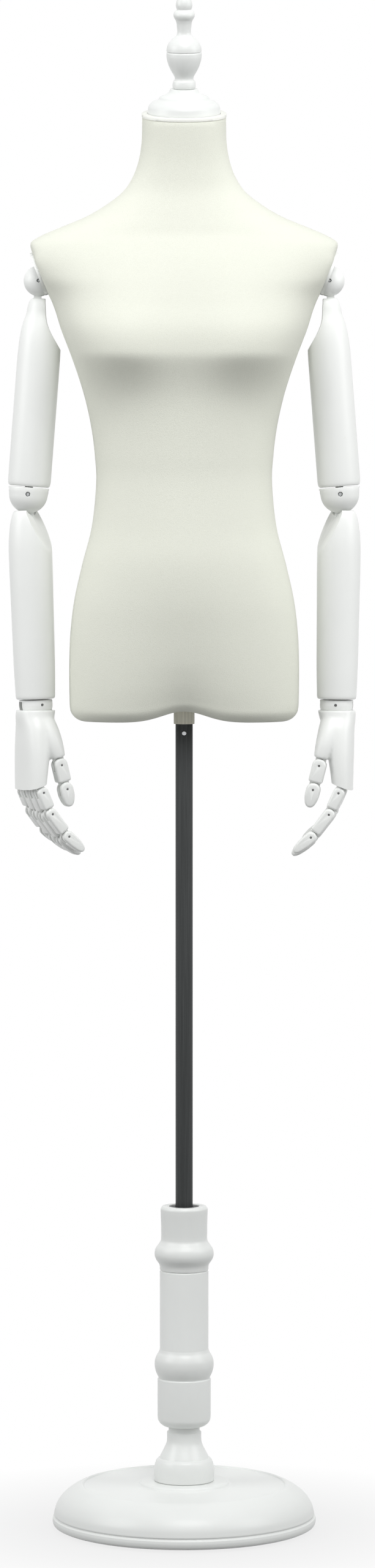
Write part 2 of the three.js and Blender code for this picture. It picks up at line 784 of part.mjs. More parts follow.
const thumbPin = new THREE.Vector3(THUMB.x, THUMB.y, -THUMB.drop);
const thumbLine = new THREE.Vector3(
  Math.sin(radians(THUMB.lean)),
  0,
  -Math.cos(radians(THUMB.lean)),
);
const knuckleFrame = frameAt(
  new THREE.Vector3(PALM.centre, 0, -PALM.span),
  [0, radians(180 - PALM.slant), 0],
);
const knuckleDrop = (halfDepth) => halfDepth + KNUCKLE_GAP;
const knucklePin = new THREE.Vector3(0, 0, knuckleDrop(FINGER.halfDepth))
  .applyMatrix4(knuckleFrame);

// The ball of the thumb swells out of the palm and ends square to the thumb
function thumbRoot() {
  const start = new THREE.Vector3(THUMB_ROOT.x, THUMB_ROOT.y, -THUMB_ROOT.drop);
  const end = thumbPin.clone().addScaledVector(thumbLine, -knuckleDrop(THUMB.halfDepth));
  const middle = end.clone().addScaledVector(thumbLine, -24);
  const curve = new THREE.QuadraticBezierCurve3(start, middle, end);
  const rings = [];
  const steps = 4;
  const sides = 10;
  for (let step = 0; step <= steps; step += 1) {
    const share = step / steps;
    const radius = THREE.MathUtils.lerp(THUMB_ROOT.radius, THUMB_ROOT.end, share);
    const turn = new THREE.Quaternion().setFromUnitVectors(
      new THREE.Vector3(0, 0, -1),
      curve.getTangent(share),
    );
    const circle = [];
    for (let side = 0; side < sides; side += 1) {
      const angle = (side / sides) * Math.PI * 2;
      const point = new THREE.Vector3(Math.cos(angle) * radius, Math.sin(angle) * radius, 0);
      circle.push(point.applyQuaternion(turn).add(curve.getPoint(share)));
    }
    rings.push(circle);
  }
  return loft(rings);
}

// A finger tongue hangs from the end of a piece and is turned about by the next one
function fingerTongue(frame, halfDepth) {
  const radius = halfDepth - 2.2;
  return tongue(radius, knuckleDrop(halfDepth) + 4, FINGER.tongue).applyMatrix4(frame);
}

const tongueHole = (frame) =>
  crossBar(FINGER.pin + JOINT_GAP, 2 * FINGER.tongue, DIGIT_PIN_SIDES).applyMatrix4(frame);

function palm() {
  const body = cut(loft(PALM_SECTIONS.map(palmRing)), beyond(knuckleFrame));
  const whole = withTongue(join(body, thumbRoot()), WRIST, 30);
  const knuckles = FINGERS.map(({ y }) =>
    frameAt(knucklePin.clone().setY(y), [0, -radians(PALM.slant), 0]));
  const thumb = frameAt(thumbPin, [0, -radians(THUMB.lean), 0]);
  const tongues = [
    ...knuckles.map((frame) => fingerTongue(frame, FINGER.halfDepth)),
    fingerTongue(thumb, THUMB.halfDepth),
  ];
  return cut(join(whole, ...tongues), ...[...knuckles, thumb].map(tongueHole));
}

// One piece of a finger, from the pin at its slotted top to the tongue or the tip at its end
function phalanx(length, halfDepth, isTip) {
  const steps = 4;
  const outline = [];
  for (let step = 0; step <= steps; step += 1) {
    const angle = (step / steps) * Math.PI;
    outline.push([halfDepth * Math.cos(angle), halfDepth * Math.sin(angle)]);
  }
  const end = knuckleDrop(halfDepth) - length;
  const tip = [
    [-halfDepth * 0.94, -length * 0.55],
    [-halfDepth * 0.66, -length * 0.9],
    [-halfDepth * 0.25, -length],
    [halfDepth * 0.25, -length],
    [halfDepth * 0.66, -length * 0.9],
    [halfDepth * 0.94, -length * 0.55],
  ];
  outline.push(...(isTip ? tip : [[-halfDepth, end], [halfDepth, end]]));
  const body = plate(outline, 2 * FINGER.halfWidth, FINGER.bevel);
  const slotBottom = -(halfDepth - 2.2) - JOINT_GAP;
  const slotTop = halfDepth + 2;
  const slot = box(
    4 * halfDepth,
    FINGER.tongue + 2 * GAP,
    slotTop - slotBottom,
    0,
    0,
    (slotTop + slotBottom) / 2,
  );
  const pin = crossBar(FINGER.pin, 2 * FINGER.halfWidth - 1.2, DIGIT_PIN_SIDES);
  const piece = join(cut(body, slot), pin);
  if (isTip) return piece;
  const nextPin = frameAt(new THREE.Vector3(0, 0, -length), [0, 0, 0]);
  return cut(join(piece, fingerTongue(nextPin, halfDepth)), tongueHole(nextPin));
}

// The solids are made for the right side, where +X is inwards, and mirrored for the left
function handed(geometry, inward) {
  return inward > 0 ? geometry : closed(geometry.clone().scale(-1, 1, 1));
}

function addDigit(parent, name, inward, lengths, bends, halfDepth) {
  let pivot = parent;
  lengths.forEach((length, piece) => {
    if (piece > 0) pivot = groupAt(pivot, 0, 0, -lengths[piece - 1]);
    pivot.rotation.y = -inward * radians(bends[piece]);
    pivot.name = `${name}_${piece + 1}_bend`;
    const isTip = piece === lengths.length - 1;
    add(pivot, `${name}_${piece + 1}`, handed(phalanx(length, halfDepth, isTip), inward), PAINTED_WOOD);
  });
}

function addArm({ name, x: side, lean, turn }) {
  const inward = -side;
  const frame = armholeFrame(side);
  const platePiece = shoulderPlate(side).applyMatrix4(frame);
  add(torsoGroup, `${name}_shoulder_plate`, platePiece, PAINTED_WOOD);

  const pin = ballPin(side).applyMatrix4(frame);
  const shoulder = groupAt(torsoGroup, pin.x, pin.y, pin.z);
  const turning = groupAt(shoulder, 0, 0, 0);
  turning.rotation.y = inward * radians(90 - ARMHOLE.tilt);
  turning.name = `${name}_shoulder_turn`;
  add(turning, `${name}_shoulder_ball`, handed(jointBall(SHOULDER), inward), PAINTED_WOOD);
  add(turning, `${name}_shoulder_pin`, jointPin(SHOULDER), BRIGHT_STEEL);

  const arm = groupAt(shoulder, 0, 0, 0);
  arm.rotation.y = inward * radians(UPPER_ARM.lean);
  arm.name = `${name}_shoulder_lift`;
  add(arm, `${name}_upper_arm`, handed(upperArm(), inward), PAINTED_WOOD);

  const elbow = groupAt(arm, inward * UPPER_ARM.offset, 0, -UPPER_ARM.span);
  elbow.name = `${name}_elbow_turn`;
  add(elbow, `${name}_elbow_ball`, handed(jointBall(ELBOW), inward), PAINTED_WOOD);
  add(elbow, `${name}_elbow_pin`, jointPin(ELBOW), BRIGHT_STEEL);

  const lower = groupAt(elbow, 0, 0, 0);
  lower.rotation.y = -inward * radians(UPPER_ARM.lean + lean);
  lower.name = `${name}_elbow_bend`;
  add(lower, `${name}_forearm`, handed(forearm(), inward), PAINTED_WOOD);

  const wrist = groupAt(lower, 0, 0, -FOREARM.span);
  wrist.rotation.z = inward * radians(turn);
  wrist.name = `${name}_wrist_turn`;
  add(wrist, `${name}_wrist_ball`, handed(jointBall(WRIST, true), inward), PAINTED_WOOD);

  const hand = groupAt(wrist, 0, 0, 0);
  hand.rotation.y = inward * radians(lean);
  hand.name = `${name}_wrist_bend`;
  add(hand, `${name}_palm`, handed(palm(), inward), PAINTED_WOOD);

  const thumb = groupAt(hand, inward * thumbPin.x, thumbPin.y, thumbPin.z);
  const thumbBends = [THUMB.lean, 0];
  addDigit(thumb, `${name}_thumb`, inward, THUMB.lengths, thumbBends, THUMB.halfDepth);
  for (const { name: finger, y, lengths } of FINGERS) {
    const knuckle = groupAt(hand, inward * knucklePin.x, y, knucklePin.z);
    addDigit(knuckle, `${name}_${finger}`, inward, lengths, FINGER_BENDS, FINGER.halfDepth);
  }
}

SIDES.forEach(addArm);

export default root;
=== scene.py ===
# Dress form mannequin: ivory jersey torso with white painted wooden arms, hands, cap and stand.
# Shapes are written in millimetres, +Z up, and become metres when a piece is placed.
# The chest faces -Y. Limbs are made for the right side, where +X is inwards, and mirrored.

import json
import math

import bmesh
import bpy
from mathutils import Euler, Matrix, Vector


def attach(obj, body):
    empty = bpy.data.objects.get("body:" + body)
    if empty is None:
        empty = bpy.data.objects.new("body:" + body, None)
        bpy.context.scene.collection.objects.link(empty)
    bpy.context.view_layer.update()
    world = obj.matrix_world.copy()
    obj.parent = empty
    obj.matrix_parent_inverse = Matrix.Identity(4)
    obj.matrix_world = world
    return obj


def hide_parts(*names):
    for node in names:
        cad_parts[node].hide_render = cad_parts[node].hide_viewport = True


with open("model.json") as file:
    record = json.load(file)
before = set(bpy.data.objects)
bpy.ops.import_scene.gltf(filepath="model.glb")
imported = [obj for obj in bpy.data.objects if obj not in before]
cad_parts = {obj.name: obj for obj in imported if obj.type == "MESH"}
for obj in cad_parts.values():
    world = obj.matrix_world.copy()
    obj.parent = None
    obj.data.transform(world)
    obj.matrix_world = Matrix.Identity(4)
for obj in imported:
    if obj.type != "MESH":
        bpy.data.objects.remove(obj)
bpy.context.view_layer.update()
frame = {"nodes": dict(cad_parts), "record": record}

record = frame["record"]
BODY_OF = {node: body for body, nodes in record["behaviour"]["bodies"].items() for node in nodes}
METRES = Matrix.Scale(0.001, 4)

# Fits
GAP = 0.3
JOINT_GAP = 0.6

# Stand
FELT = dict(inner=100, outer=150, height=3)
BASE = dict(radius=169.3, rim=16, top=55, recess=131.5, seat=57, seat_top=60)
POLE = dict(radius=11, wall=1.8, bottom=325, top=1120)
FOOT = dict(radius=38.5, neck=22, neck_top=124, spigot=20, top=131)
COLUMN = dict(radius=34.2, bead=38, middle=31.2, upper=29.5, top=415)
BUSH = dict(radius=19, height=20)
BUTTON = dict(radius=3, length=4.7, height=1022, proud=0.9)
TUBE_OUTER = POLE["radius"] + GAP + 2.2
COLLAR = dict(wall=2, bottom=1033.5, flange=34, flange_bottom=1054, flange_top=1058, cap=5)

# Torso
COVER = 1.5
TORSO_BOTTOM = 1037
ARCH = dict(height=14, width=38, fade=73)
TORSO_ROUNDNESS = 2.25
LOWER_EDGE = dict(radius=20, height=19, steps=10)
BUST = dict(
    depth=45, z=1501, above=88, below=39, crease=1.5,
    valley=0.62, valley_width=68, wide=124, edge=60,
)
SEAT = dict(depth=8, x=62, z=1112, spread_x=42, spread_z=48)
GROIN = dict(depth=20, spread_x=60, top=1262, height=212)
NECK = dict(z=1806.5, tilt=11.5, forward=14, root=1690)
NECK_BAND = 4.6
CAP = dict(radius=46, height=30.8, socket=20)
FINIAL_STUD = 5
ARMHOLE = dict(x=181.5, z=1600, tilt=20.9)
PLATE = dict(half_height=29, half_width=38, depth=9, proud=3, up=5)
BALL_SEAT = dict(depth=6, down=3, margin=2.5)
TORSO_STATIONS = [  # height, half width, depth to the front, depth to the back
    (1056, 146, 80, 104), (1080, 146.5, 84, 110), (1112, 146.5, 87.5, 110), (1149, 145, 90.5, 105),
    (1191, 140, 93.5, 96), (1238, 129.5, 93.5, 82), (1285, 117.5, 89, 71), (1339, 112, 85.5, 66),
    (1374, 113.5, 86.5, 70), (1410, 118, 88.5, 79), (1445, 125.5, 91, 88), (1474, 134, 94, 95),
    (1504, 144.5, 97, 99), (1534, 156, 98, 101), (1562, 165, 94.5, 101), (1578, 174, 92.5, 100),
    (1598, 193, 89, 97), (1620, 205, 83, 92), (1639, 202, 76, 84), (1652, 183, 71, 77),
    (1664, 155, 68, 72), (1676.5, 125, 65, 67), (1691, 100, 61.5, 62), (1708, 78, 57.5, 57),
    (1726, 65.5, 54.5, 53.5), (1744, 58.5, 52, 51), (1764, 54.5, 50.5, 50), (1786, 53.2, 50, 50),
    (1840, 53.2, 50, 50),
]

# Arms
SHOULDER = dict(radius=20.5, barrel=20.5, drop=7, web=1.8, slot=14.6, pin=2, stud=5)
UPPER_ARM = dict(length=270, radius=27.3, offset=7.2, lean=4.45, neck=19)
ELBOW = dict(radius=25.5, barrel=26, drop=8.5, web=2, slot=14.6, pin=2.7, stud=5)
FOREARM = dict(length=268, radius=27.7, wrist=25.4, neck=20.5)
WRIST = dict(radius=21.6, barrel=21.4, drop=6, web=1.6, slot=9.6, pin=1.6, stud=4)
SCOOP_TURN = 20
STUD_LENGTH = 24
PIN_INSET = 3.5
END_GAP = 1.3
SIDES = [("right", -1, 1.9, 25), ("left", 1, 0.8, 5)]  # name, side, forearm's lean, hand's turn

# Hands
PALM = dict(length=103.5, slant=20, centre=-7.5, roundness=2.5, voxel=1.1, melt=0.6, melts=24)
PALM_SECTIONS = [  # depth below the wrist pin, centre and half sizes in X and Y
    (6, 0, 0, 24, 24), (14, -1, 0, 23.4, 25.5), (30, -3, -1, 20, 31),
    (55, -5, -1, 17.5, 35.5), (85, -7, -1, 14.6, 37), (116, -8.5, -1, 12.5, 36),
]
KNUCKLE_GAP = 0.7
FINGER = dict(half_width=8.2, half_depth=7.5, tongue=5, tongue_inset=2.2, pin=1.4)
FINGER_TIP = dict(length=0.88, start=0.3, narrow=0.34, thin=0.16, power=1.5)
FINGER_BENDS = (24, 14, 12)
FINGERS = [  # name, place across the palm, lengths
    ("index", -28, (30, 37, 33)),
    ("middle", -9.3, (33, 39, 34)),
    ("ring", 9.3, (31, 37, 33)),
    ("little", 27.5, (27, 32, 29)),
]
THUMB = dict(x=20, y=-29, drop=76.5, lean=14, half_depth=9, lengths=(31.6, 26))
THUMB_ROOT = dict(x=3, y=-10, drop=22, radius=17, end=0.7, bend=24)

# Studio, in metres and watts; the floor's own sizes are in millimetres
WORLD_STRENGTH = 0.5
LAMPS = [  # name, place, aim, size, power
    ("key", (0.4, -2.7, 4.4), (0, 0, 1.4), (2.2, 1.6), 87),
    ("right_side", (3.18, -1.16, 2.53), (0, 0, 1.3), (2.0, 2.2), 42),
    ("left_side", (-3.18, -1.16, 2.53), (0, 0, 1.3), (2.0, 2.2), 46),
]
CAMERA = dict(at=(0.0043, -6.7, 1.35), down=3.36, lens=120.8, sensor=36)
FLOOR = dict(reach=9000, depth=60, below=0.4, color=(0.3, 0.3, 0.3, 1))
FLOOR_GLOW = (0.82, 1.0, 0.17, 0.45)  # share of plain white near and far, and the distances of both


# Small helpers

def rotation(angle, axis):
    return Matrix.Rotation(math.radians(angle), 4, axis)


def shift(x=0, y=0, z=0):
    return Matrix.Translation((x, y, z))


def bump(distance, spread):
    return math.exp(-((distance / spread) ** 2))


def clamp(value, low=0.0, high=1.0):
    return max(low, min(high, value))


def smoothstep(low, high, value):
    t = clamp((value - low) / (high - low))
    return t * t * (3 - 2 * t)


def curve(points, steps=5):
    """A smooth curve through the points, with steps pieces between each two."""
    points = [Vector(p) for p in points]
    if len(points) == 2:
        return [tuple(p) for p in points]
    ends = [2 * points[0] - points[1], *points, 2 * points[-1] - points[-2]]
    out = []
    for p0, p1, p2, p3 in zip(ends, ends[1:], ends[2:], ends[3:]):
        t0 = 0.0
        t1 = t0 + max((p1 - p0).length, 1e-6) ** 0.5
        t2 = t1 + max((p2 - p1).length, 1e-6) ** 0.5
        t3 = t2 + max((p3 - p2).length, 1e-6) ** 0.5
        for step in range(steps):
            t = t1 + (t2 - t1) * step / steps
            a1 = p0.lerp(p1, (t - t0) / (t1 - t0))
            a2 = p1.lerp(p2, (t - t1) / (t2 - t1))
            a3 = p2.lerp(p3, (t - t2) / (t3 - t2))
            b1 = a1.lerp(a2, (t - t0) / (t2 - t0))
            b2 = a2.lerp(a3, (t - t1) / (t3 - t1))
            out.append(tuple(b1.lerp(b2, (t - t1) / (t2 - t1))))
    out.append(tuple(points[-1]))
    return out


def super_ellipse(angle, roundness):
    """A point of the rounded square within one unit: 2 is a circle."""
    parts = math.cos(angle), math.sin(angle)
    return [math.copysign(abs(part) ** (2 / roundness), part) for part in parts]


def outline(start, *steps):
    """A profile: a point is a straight step, and a list is a smooth run on from the last point."""
    out = [tuple(Vector(start))]
    for step in steps:
        run = step if isinstance(step, list) else [step]
        out += curve([out[-1], *run])[1:]
    return out


def new_object(name, data):
    made = bpy.data.objects.new(name, data)
    bpy.context.scene.collection.objects.link(made)
    return made


def from_faces(name, points, faces):
    mesh = bpy.data.meshes.new(name)
    mesh.from_pydata([tuple(p) for p in points], [], faces)
    shell = bmesh.new()
    shell.from_mesh(mesh)
    bmesh.ops.remove_doubles(shell, verts=shell.verts, dist=1e-4)
    bmesh.ops.recalc_face_normals(shell, faces=shell.faces)
    shell.to_mesh(mesh)
    shell.free()
    return new_object(name, mesh)


def lathe(name, profile, sides=96, loop=False):
    """Turned piece about +Z. A loop is a ring whose profile closes on itself."""
    points, rows, faces = [], [], []
    for radius, height in profile:
        count = 1 if radius < 1e-6 else sides
        rows.append([len(points) + i for i in range(count)])
        for i in range(count):
            angle = 2 * math.pi * i / sides
            points.append((radius * math.cos(angle), radius * math.sin(angle), height))
    pairs = list(zip(rows, rows[1:])) + ([(rows[-1], rows[0])] if loop else [])
    for lower, upper in pairs:
        for i in range(sides):
            j = (i + 1) % sides
            corners = [
                lower[i % len(lower)], lower[j % len(lower)],
                upper[j % len(upper)], upper[i % len(upper)],
            ]
            corners = list(dict.fromkeys(corners))
            if len(corners) > 2:
                faces.append(corners)
    return from_faces(name, points, faces)


def loft(name, rings):
    """Closed body through rings of equally many points."""
    sides = len(rings[0])
    points = [p for ring in rings for p in ring]
    faces = []
    for row in range(len(rings) - 1):
        for i in range(sides):
            a, b = row * sides + i, row * sides + (i + 1) % sides
            faces.append((a, b, b + sides, a + sides))
    faces.append(tuple(range(sides)))
    faces.append(tuple((len(rings) - 1) * sides + i for i in range(sides)))
    return from_faces(name, points, faces)


def prism(shape, thickness):
    """Outline in X and Z, as thick as given along Y and centred on it."""
    count = len(shape)
    points = [(x, y, z) for y in (-thickness / 2, thickness / 2) for x, z in shape]
    faces = [tuple(range(count)), tuple(range(count, 2 * count))]
    for i in range(count):
        j = (i + 1) % count
        faces.append((i, j, j + count, i + count))
    return from_faces("prism", points, faces)


def block(low, high):
    (x0, y0, z0), (x1, y1, z1) = low, high
    piece = prism([(x0, z0), (x1, z0), (x1, z1), (x0, z1)], y1 - y0)
    piece.data.transform(shift(y=(y0 + y1) / 2))
    return piece


def cross_bar(radius, length, sides=32):
    """Round bar along Y."""
    shape = [
        (radius * math.cos(2 * math.pi * i / sides), radius * math.sin(2 * math.pi * i / sides))
        for i in range(sides)
    ]
    return prism(shape, length)


def bar(radius, bottom, top, sides=48):
    """Round bar along Z."""
    return lathe("bar", [(0, bottom), (radius, bottom), (radius, top), (0, top)], sides)


def moved(piece, matrix):
    piece.data.transform(matrix)
    if matrix.determinant() < 0:
        piece.data.flip_normals()
    return piece


def apply_modifiers(piece):
    depsgraph = bpy.context.evaluated_depsgraph_get()
    made = bpy.data.meshes.new_from_object(piece.evaluated_get(depsgraph))
    old = piece.data
    piece.modifiers.clear()
    piece.data = made
    bpy.data.meshes.remove(old)
    return piece


def remove(piece):
    mesh = piece.data
    bpy.data.objects.remove(piece)
    bpy.data.meshes.remove(mesh)


def combine(piece, others, operation):
    for other in others:
        change = piece.modifiers.new("combine", "BOOLEAN")
        change.operation = operation
        change.solver = "EXACT"
        change.object = other
        apply_modifiers(piece)
        remove(other)
    return piece


def cut(piece, *tools):
    return combine(piece, tools, "DIFFERENCE")


def join(piece, *others):
    return combine(piece, others, "UNION")


def soften(piece, width, segments=2, angle=38):
    """Rounds the edges that are sharper than the angle."""
    change = piece.modifiers.new("edges", "BEVEL")
    change.width = width
    change.segments = segments
    change.limit_method = "ANGLE"
    change.angle_limit = math.radians(angle)
    change.use_clamp_overlap = True
    change.miter_outer = "MITER_ARC"
    return apply_modifiers(piece)


def shade(piece, angle=34):
    mesh = piece.data
    mesh.shade_smooth()
    mesh.set_sharp_from_angle(angle=math.radians(angle))
    return piece


def paint(piece, *looks):
    piece.data.materials.clear()
    for look in looks:
        piece.data.materials.append(look)


def place(piece, cad_node, look, matrix=Matrix.Identity(4), angle=34):
    """Puts a piece in its place, in metres, instead of its CAD node."""
    moved(piece, METRES @ matrix)
    if look is not None:
        paint(piece, look)
    shade(piece, angle)
    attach(piece, BODY_OF[cad_node])
    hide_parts(cad_node)
    return piece


# Materials

PLAIN = (1, 1, 1)


def new_material(name, color, roughness, **values):
    """Other inputs of the shader go by their names, with _ for each space."""
    material = bpy.data.materials.new(name)
    material.use_nodes = True
    shader = material.node_tree.nodes["Principled BSDF"]
    shader.inputs["Base Color"].default_value = (*color, 1)
    shader.inputs["Roughness"].default_value = roughness
    for key, value in values.items():
        shader.inputs[key.replace("_", " ")].default_value = value
    return material, material.node_tree


def node(tree, kind, **values):
    made = tree.nodes.new(kind)
    for key, value in values.items():
        if key in made.inputs:
            made.inputs[key].default_value = value
        else:
            setattr(made, key, value)
    return made


def mapped(tree, scale):
    """The place on the piece, stretched to a scale in each direction."""
    spot = node(tree, "ShaderNodeTexCoord")
    mapping = node(tree, "ShaderNodeMapping", Scale=scale)
    tree.links.new(spot.outputs["Object"], mapping.inputs["Vector"])
    return mapping.outputs["Vector"]


def noise(tree, stretch, scale, detail, roughness=0.5):
    made = node(tree, "ShaderNodeTexNoise", Scale=scale, Detail=detail, Roughness=roughness)
    tree.links.new(mapped(tree, stretch), made.inputs["Vector"])
    return made.outputs["Fac"]


def ramp(tree, value, low, high, low_color, high_color):
    made = node(tree, "ShaderNodeValToRGB")
    tree.links.new(value, made.inputs["Fac"])
    for stop, at, color in zip(made.color_ramp.elements, (low, high), (low_color, high_color)):
        stop.position = at
        stop.color = (*color, 1)
    return made.outputs["Color"]


def between(tree, value, low, high, from_low=0.3, from_high=0.7):
    limits = {"From Min": from_low, "From Max": from_high, "To Min": low, "To Max": high}
    made = node(tree, "ShaderNodeMapRange", **limits)
    tree.links.new(value, made.inputs["Value"])
    return made.outputs["Result"]


def multiplied(tree, first, second, share):
    made = node(tree, "ShaderNodeMix", data_type="RGBA", blend_type="MULTIPLY")
    made.inputs["Factor"].default_value = share
    tree.links.new(first, made.inputs["A"])
    tree.links.new(second, made.inputs["B"])
    return made.outputs["Result"]


def surface(material, tint, roughness, layers):
    """Colour, roughness, and bump from (height, distance in metres, strength) layers."""
    tree = material.node_tree
    shader = tree.nodes["Principled BSDF"]
    tree.links.new(tint, shader.inputs["Base Color"])
    tree.links.new(roughness, shader.inputs["Roughness"])
    normal = None
    for height, distance, strength in layers:
        made = node(tree, "ShaderNodeBump", Strength=strength, Distance=distance)
        tree.links.new(height, made.inputs["Height"])
        if normal is not None:
            tree.links.new(normal, made.inputs["Normal"])
        normal = made.outputs["Normal"]
    tree.links.new(normal, shader.inputs["Normal"])
    return material


def shaded(color, amount):
    return tuple(channel * amount for channel in color)


def jersey(name, color):
    """Stretch jersey: fine upright stitches, soft nap, faint unevenness."""
    material, tree = new_material(
        name, color, 0.86, Sheen_Weight=0.22, Sheen_Roughness=0.45,
        Sheen_Tint=(0.98, 0.98, 0.94, 1), Specular_IOR_Level=0.25,
    )
    stitches = node(tree, "ShaderNodeTexVoronoi", Scale=1.0)
    tree.links.new(mapped(tree, (1150, 1150, 760)), stitches.inputs["Vector"])
    stitch = stitches.outputs["Distance"]
    broad = noise(tree, PLAIN, 7.0, 2.0)
    fibre = noise(tree, (900, 900, 300), 1.0, 4.0, 0.6)
    tint = ramp(tree, broad, 0.35, 0.68, shaded(color, 0.985), color)
    grain = ramp(tree, stitch, 0.2, 0.9, (1, 1, 1), (0.9, 0.9, 0.88))
    return surface(
        material, multiplied(tree, tint, grain, 0.5), between(tree, fibre, 0.8, 0.94),
        [(stitch, 0.00035, 0.35), (fibre, 0.0002, 0.2)],
    )


def white_paint(name, color):
    """Satin paint on turned wood: soft orange peel, faint grain, small rubbed places."""
    material, tree = new_material(
        name, color, 0.38, Specular_IOR_Level=0.45, Coat_Weight=0.12, Coat_Roughness=0.22,
    )
    peel = noise(tree, PLAIN, 420.0, 2.0)
    grain = noise(tree, (300, 300, 14), 1.0, 5.0, 0.6)
    broad = noise(tree, PLAIN, 14.0, 4.0)
    rubbed = noise(tree, PLAIN, 55.0, 6.0, 0.7)
    tint = ramp(tree, broad, 0.3, 0.7, shaded(color, 0.975), color)
    worn = ramp(tree, rubbed, 0.68, 0.8, (1, 1, 1), (0.93, 0.92, 0.9))
    return surface(
        material, multiplied(tree, tint, worn, 1.0), between(tree, broad, 0.33, 0.45),
        [(peel, 0.00012, 0.12), (grain, 0.00015, 0.1)],
    )


def painted_steel(name, color, roughness):
    """Sprayed steel tube with fine lengthwise scratches."""
    material, tree = new_material(name, color, roughness, Specular_IOR_Level=0.12)
    scratches = noise(tree, (700, 700, 9), 1.0, 4.0, 0.65)
    peel = noise(tree, PLAIN, 600.0, 2.0)
    worn = tuple(min(1, channel * 1.35 + 0.01) for channel in color)
    return surface(
        material, ramp(tree, scratches, 0.4, 0.75, color, worn),
        between(tree, scratches, roughness - 0.05, roughness + 0.08),
        [(peel, 0.00012, 0.12), (scratches, 0.00008, 0.12)],
    )


def bright_steel(name, color):
    material, tree = new_material(name, color, 0.32, Metallic=1.0)
    brushed = noise(tree, (900, 900, 60), 1.0, 4.0, 0.6)
    tint = ramp(tree, brushed, 0.35, 0.7, shaded(color, 0.86), color)
    return surface(material, tint, between(tree, brushed, 0.26, 0.42), [(brushed, 0.0001, 0.15)])


def moulded_plastic(name, color):
    material, tree = new_material(name, color, 0.55)
    texture = noise(tree, PLAIN, 900.0, 3.0)
    tint = ramp(tree, texture, 0.3, 0.7, color, shaded(color, 1.4))
    return surface(material, tint, between(tree, texture, 0.48, 0.62), [(texture, 0.0002, 0.25)])


def pressed_fibre(name, color, fineness):
    """Felt, or moulded paper pulp: matted short fibres."""
    material, tree = new_material(name, color, 0.95)
    fibres = noise(tree, PLAIN, fineness, 6.0, 0.7)
    flecks = noise(tree, (1, 1, 0.5), fineness / 3, 4.0, 0.6)
    tint = ramp(tree, flecks, 0.35, 0.65, shaded(color, 0.8), color)
    return surface(material, tint, between(tree, fibres, 0.88, 1.0), [(fibres, 0.0006, 0.5)])


IVORY_JERSEY = jersey("ivory_jersey", (0.83, 0.842, 0.752))
SELVEDGE = jersey("jersey_edge", (0.88, 0.885, 0.84))
WHITE_PAINT = white_paint("white_painted_wood", (0.905, 0.918, 0.897))
# A darker copy of the white paint above: painted shade for the dimmer light low on the stand, also
# used on the neck cap and finial.
SHADE_DARKENED_PAINT = white_paint("white_paint_darkened_as_shade", (0.8, 0.815, 0.797))
BLACK_PAINT = painted_steel("black_painted_steel", (0.05, 0.053, 0.053), 0.5)
CREAM_PAINT = painted_steel("cream_painted_steel", (0.72, 0.7, 0.6), 0.42)
STEEL = bright_steel("bright_steel", (0.55, 0.56, 0.57))
# Steel darkened to near black: painted shade of the pin holes.
PIN_STEEL_PAINTED_SHADE = bright_steel("pin_steel_painted_shade", (0.16, 0.16, 0.16))
PLASTIC = moulded_plastic("black_plastic", (0.025, 0.026, 0.027))
FELT_CLOTH = pressed_fibre("grey_felt", (0.09, 0.09, 0.09), 900)
PAPER_PULP = pressed_fibre("paper_pulp", (0.55, 0.5, 0.41), 220)


# Stand

tube_hole = TUBE_OUTER + GAP


def base_disc():
    radius, rim, top = BASE["radius"], BASE["rim"], BASE["top"]
    recess, seat, seat_top = BASE["recess"], BASE["seat"], BASE["seat_top"]
    profile = outline(
        (12, FELT["height"]), (radius - 5, FELT["height"]),
        [(radius - 1.2, 5.2), (radius, 10), (radius - 0.6, rim - 2)],
        [(radius - 2.6, rim - 0.2), (radius - 2.9, rim + 0.6)],
        (radius - 1.8, rim + 2.4),
        [(radius - 4.4, 28), (radius - 10, 37.5), (radius - 17, 44.5), (radius - 25, 50),
         (recess + 4, 54.6), (recess, top + 0.9)],
        [(recess - 1.6, top + 0.3), (recess - 2.6, top - 0.9)],
        [(seat + 12, top - 0.3), (seat + 4, top)],
        [(seat + 1, top + 1), (seat, top + 3.2), (seat - 2, seat_top)],
        (5.3, seat_top), (5.3, 11), (12, 11),
    )
    return lathe("base_disc_turned", profile, 160, loop=True)


def column_foot():
    radius, neck, neck_top = FOOT["radius"], FOOT["neck"], FOOT["neck_top"]
    bottom = BASE["seat_top"]
    profile = outline(
        (tube_hole, bottom), (radius - 2, bottom),
        [(radius - 0.4, bottom + 1), (radius, bottom + 4)],
        [(radius + 0.2, 70), (radius - 0.4, 79), (radius - 2.6, 86.5), (radius - 5, 89.4)],
        (radius - 6.6, 90),
        [(radius - 7.2, 91.4), (radius - 9.4, 95.8), (neck + 3.4, 103), (neck + 0.6, 110),
         (neck, 116)],
        (neck, neck_top - 0.5), (FOOT["spigot"], neck_top + 1), (FOOT["spigot"], FOOT["top"]),
        (tube_hole, FOOT["top"]),
    )
    return lathe("column_foot_turned", profile, 112, loop=True)


def column():
    radius, bead, middle = COLUMN["radius"], COLUMN["bead"], COLUMN["middle"]
    upper, top = COLUMN["upper"], COLUMN["top"]
    bush_hole = BUSH["radius"] + GAP
    shelf = top - BUSH["height"] - GAP
    profile = outline(
        (tube_hole, FOOT["top"]), (24, FOOT["top"]),
        [(26.5, 131.7), (31, 135), (radius - 0.6, 139.6), (radius, 144)],
        (radius, 192),
        [(radius - 1.3, 193.2), (radius - 1.2, 194.2)],
        [(bead - 2.2, 200), (bead - 0.5, 206), (bead, 211), (bead - 0.6, 217), (bead - 3, 223),
         (middle + 1.4, 227), (middle, 231)],
        (middle, 331),
        [(middle - 1.3, 332.2), (middle, 333.4)],
        (middle, 337),
        [(middle + 1, 340.5), (bead - 1.6, 347), (bead, 353), (bead - 1.4, 360.5),
         (upper + 3, 366.5), (upper + 0.5, 371), (upper, 376)],
        [(upper + 0.2, 392), (upper + 0.7, 408)],
        [(upper + 0.5, 412), (upper - 1.5, top)],
        (bush_hole, top), (bush_hole, shelf), (tube_hole, shelf),
    )
    return lathe("column_turned", profile, 112, loop=True)


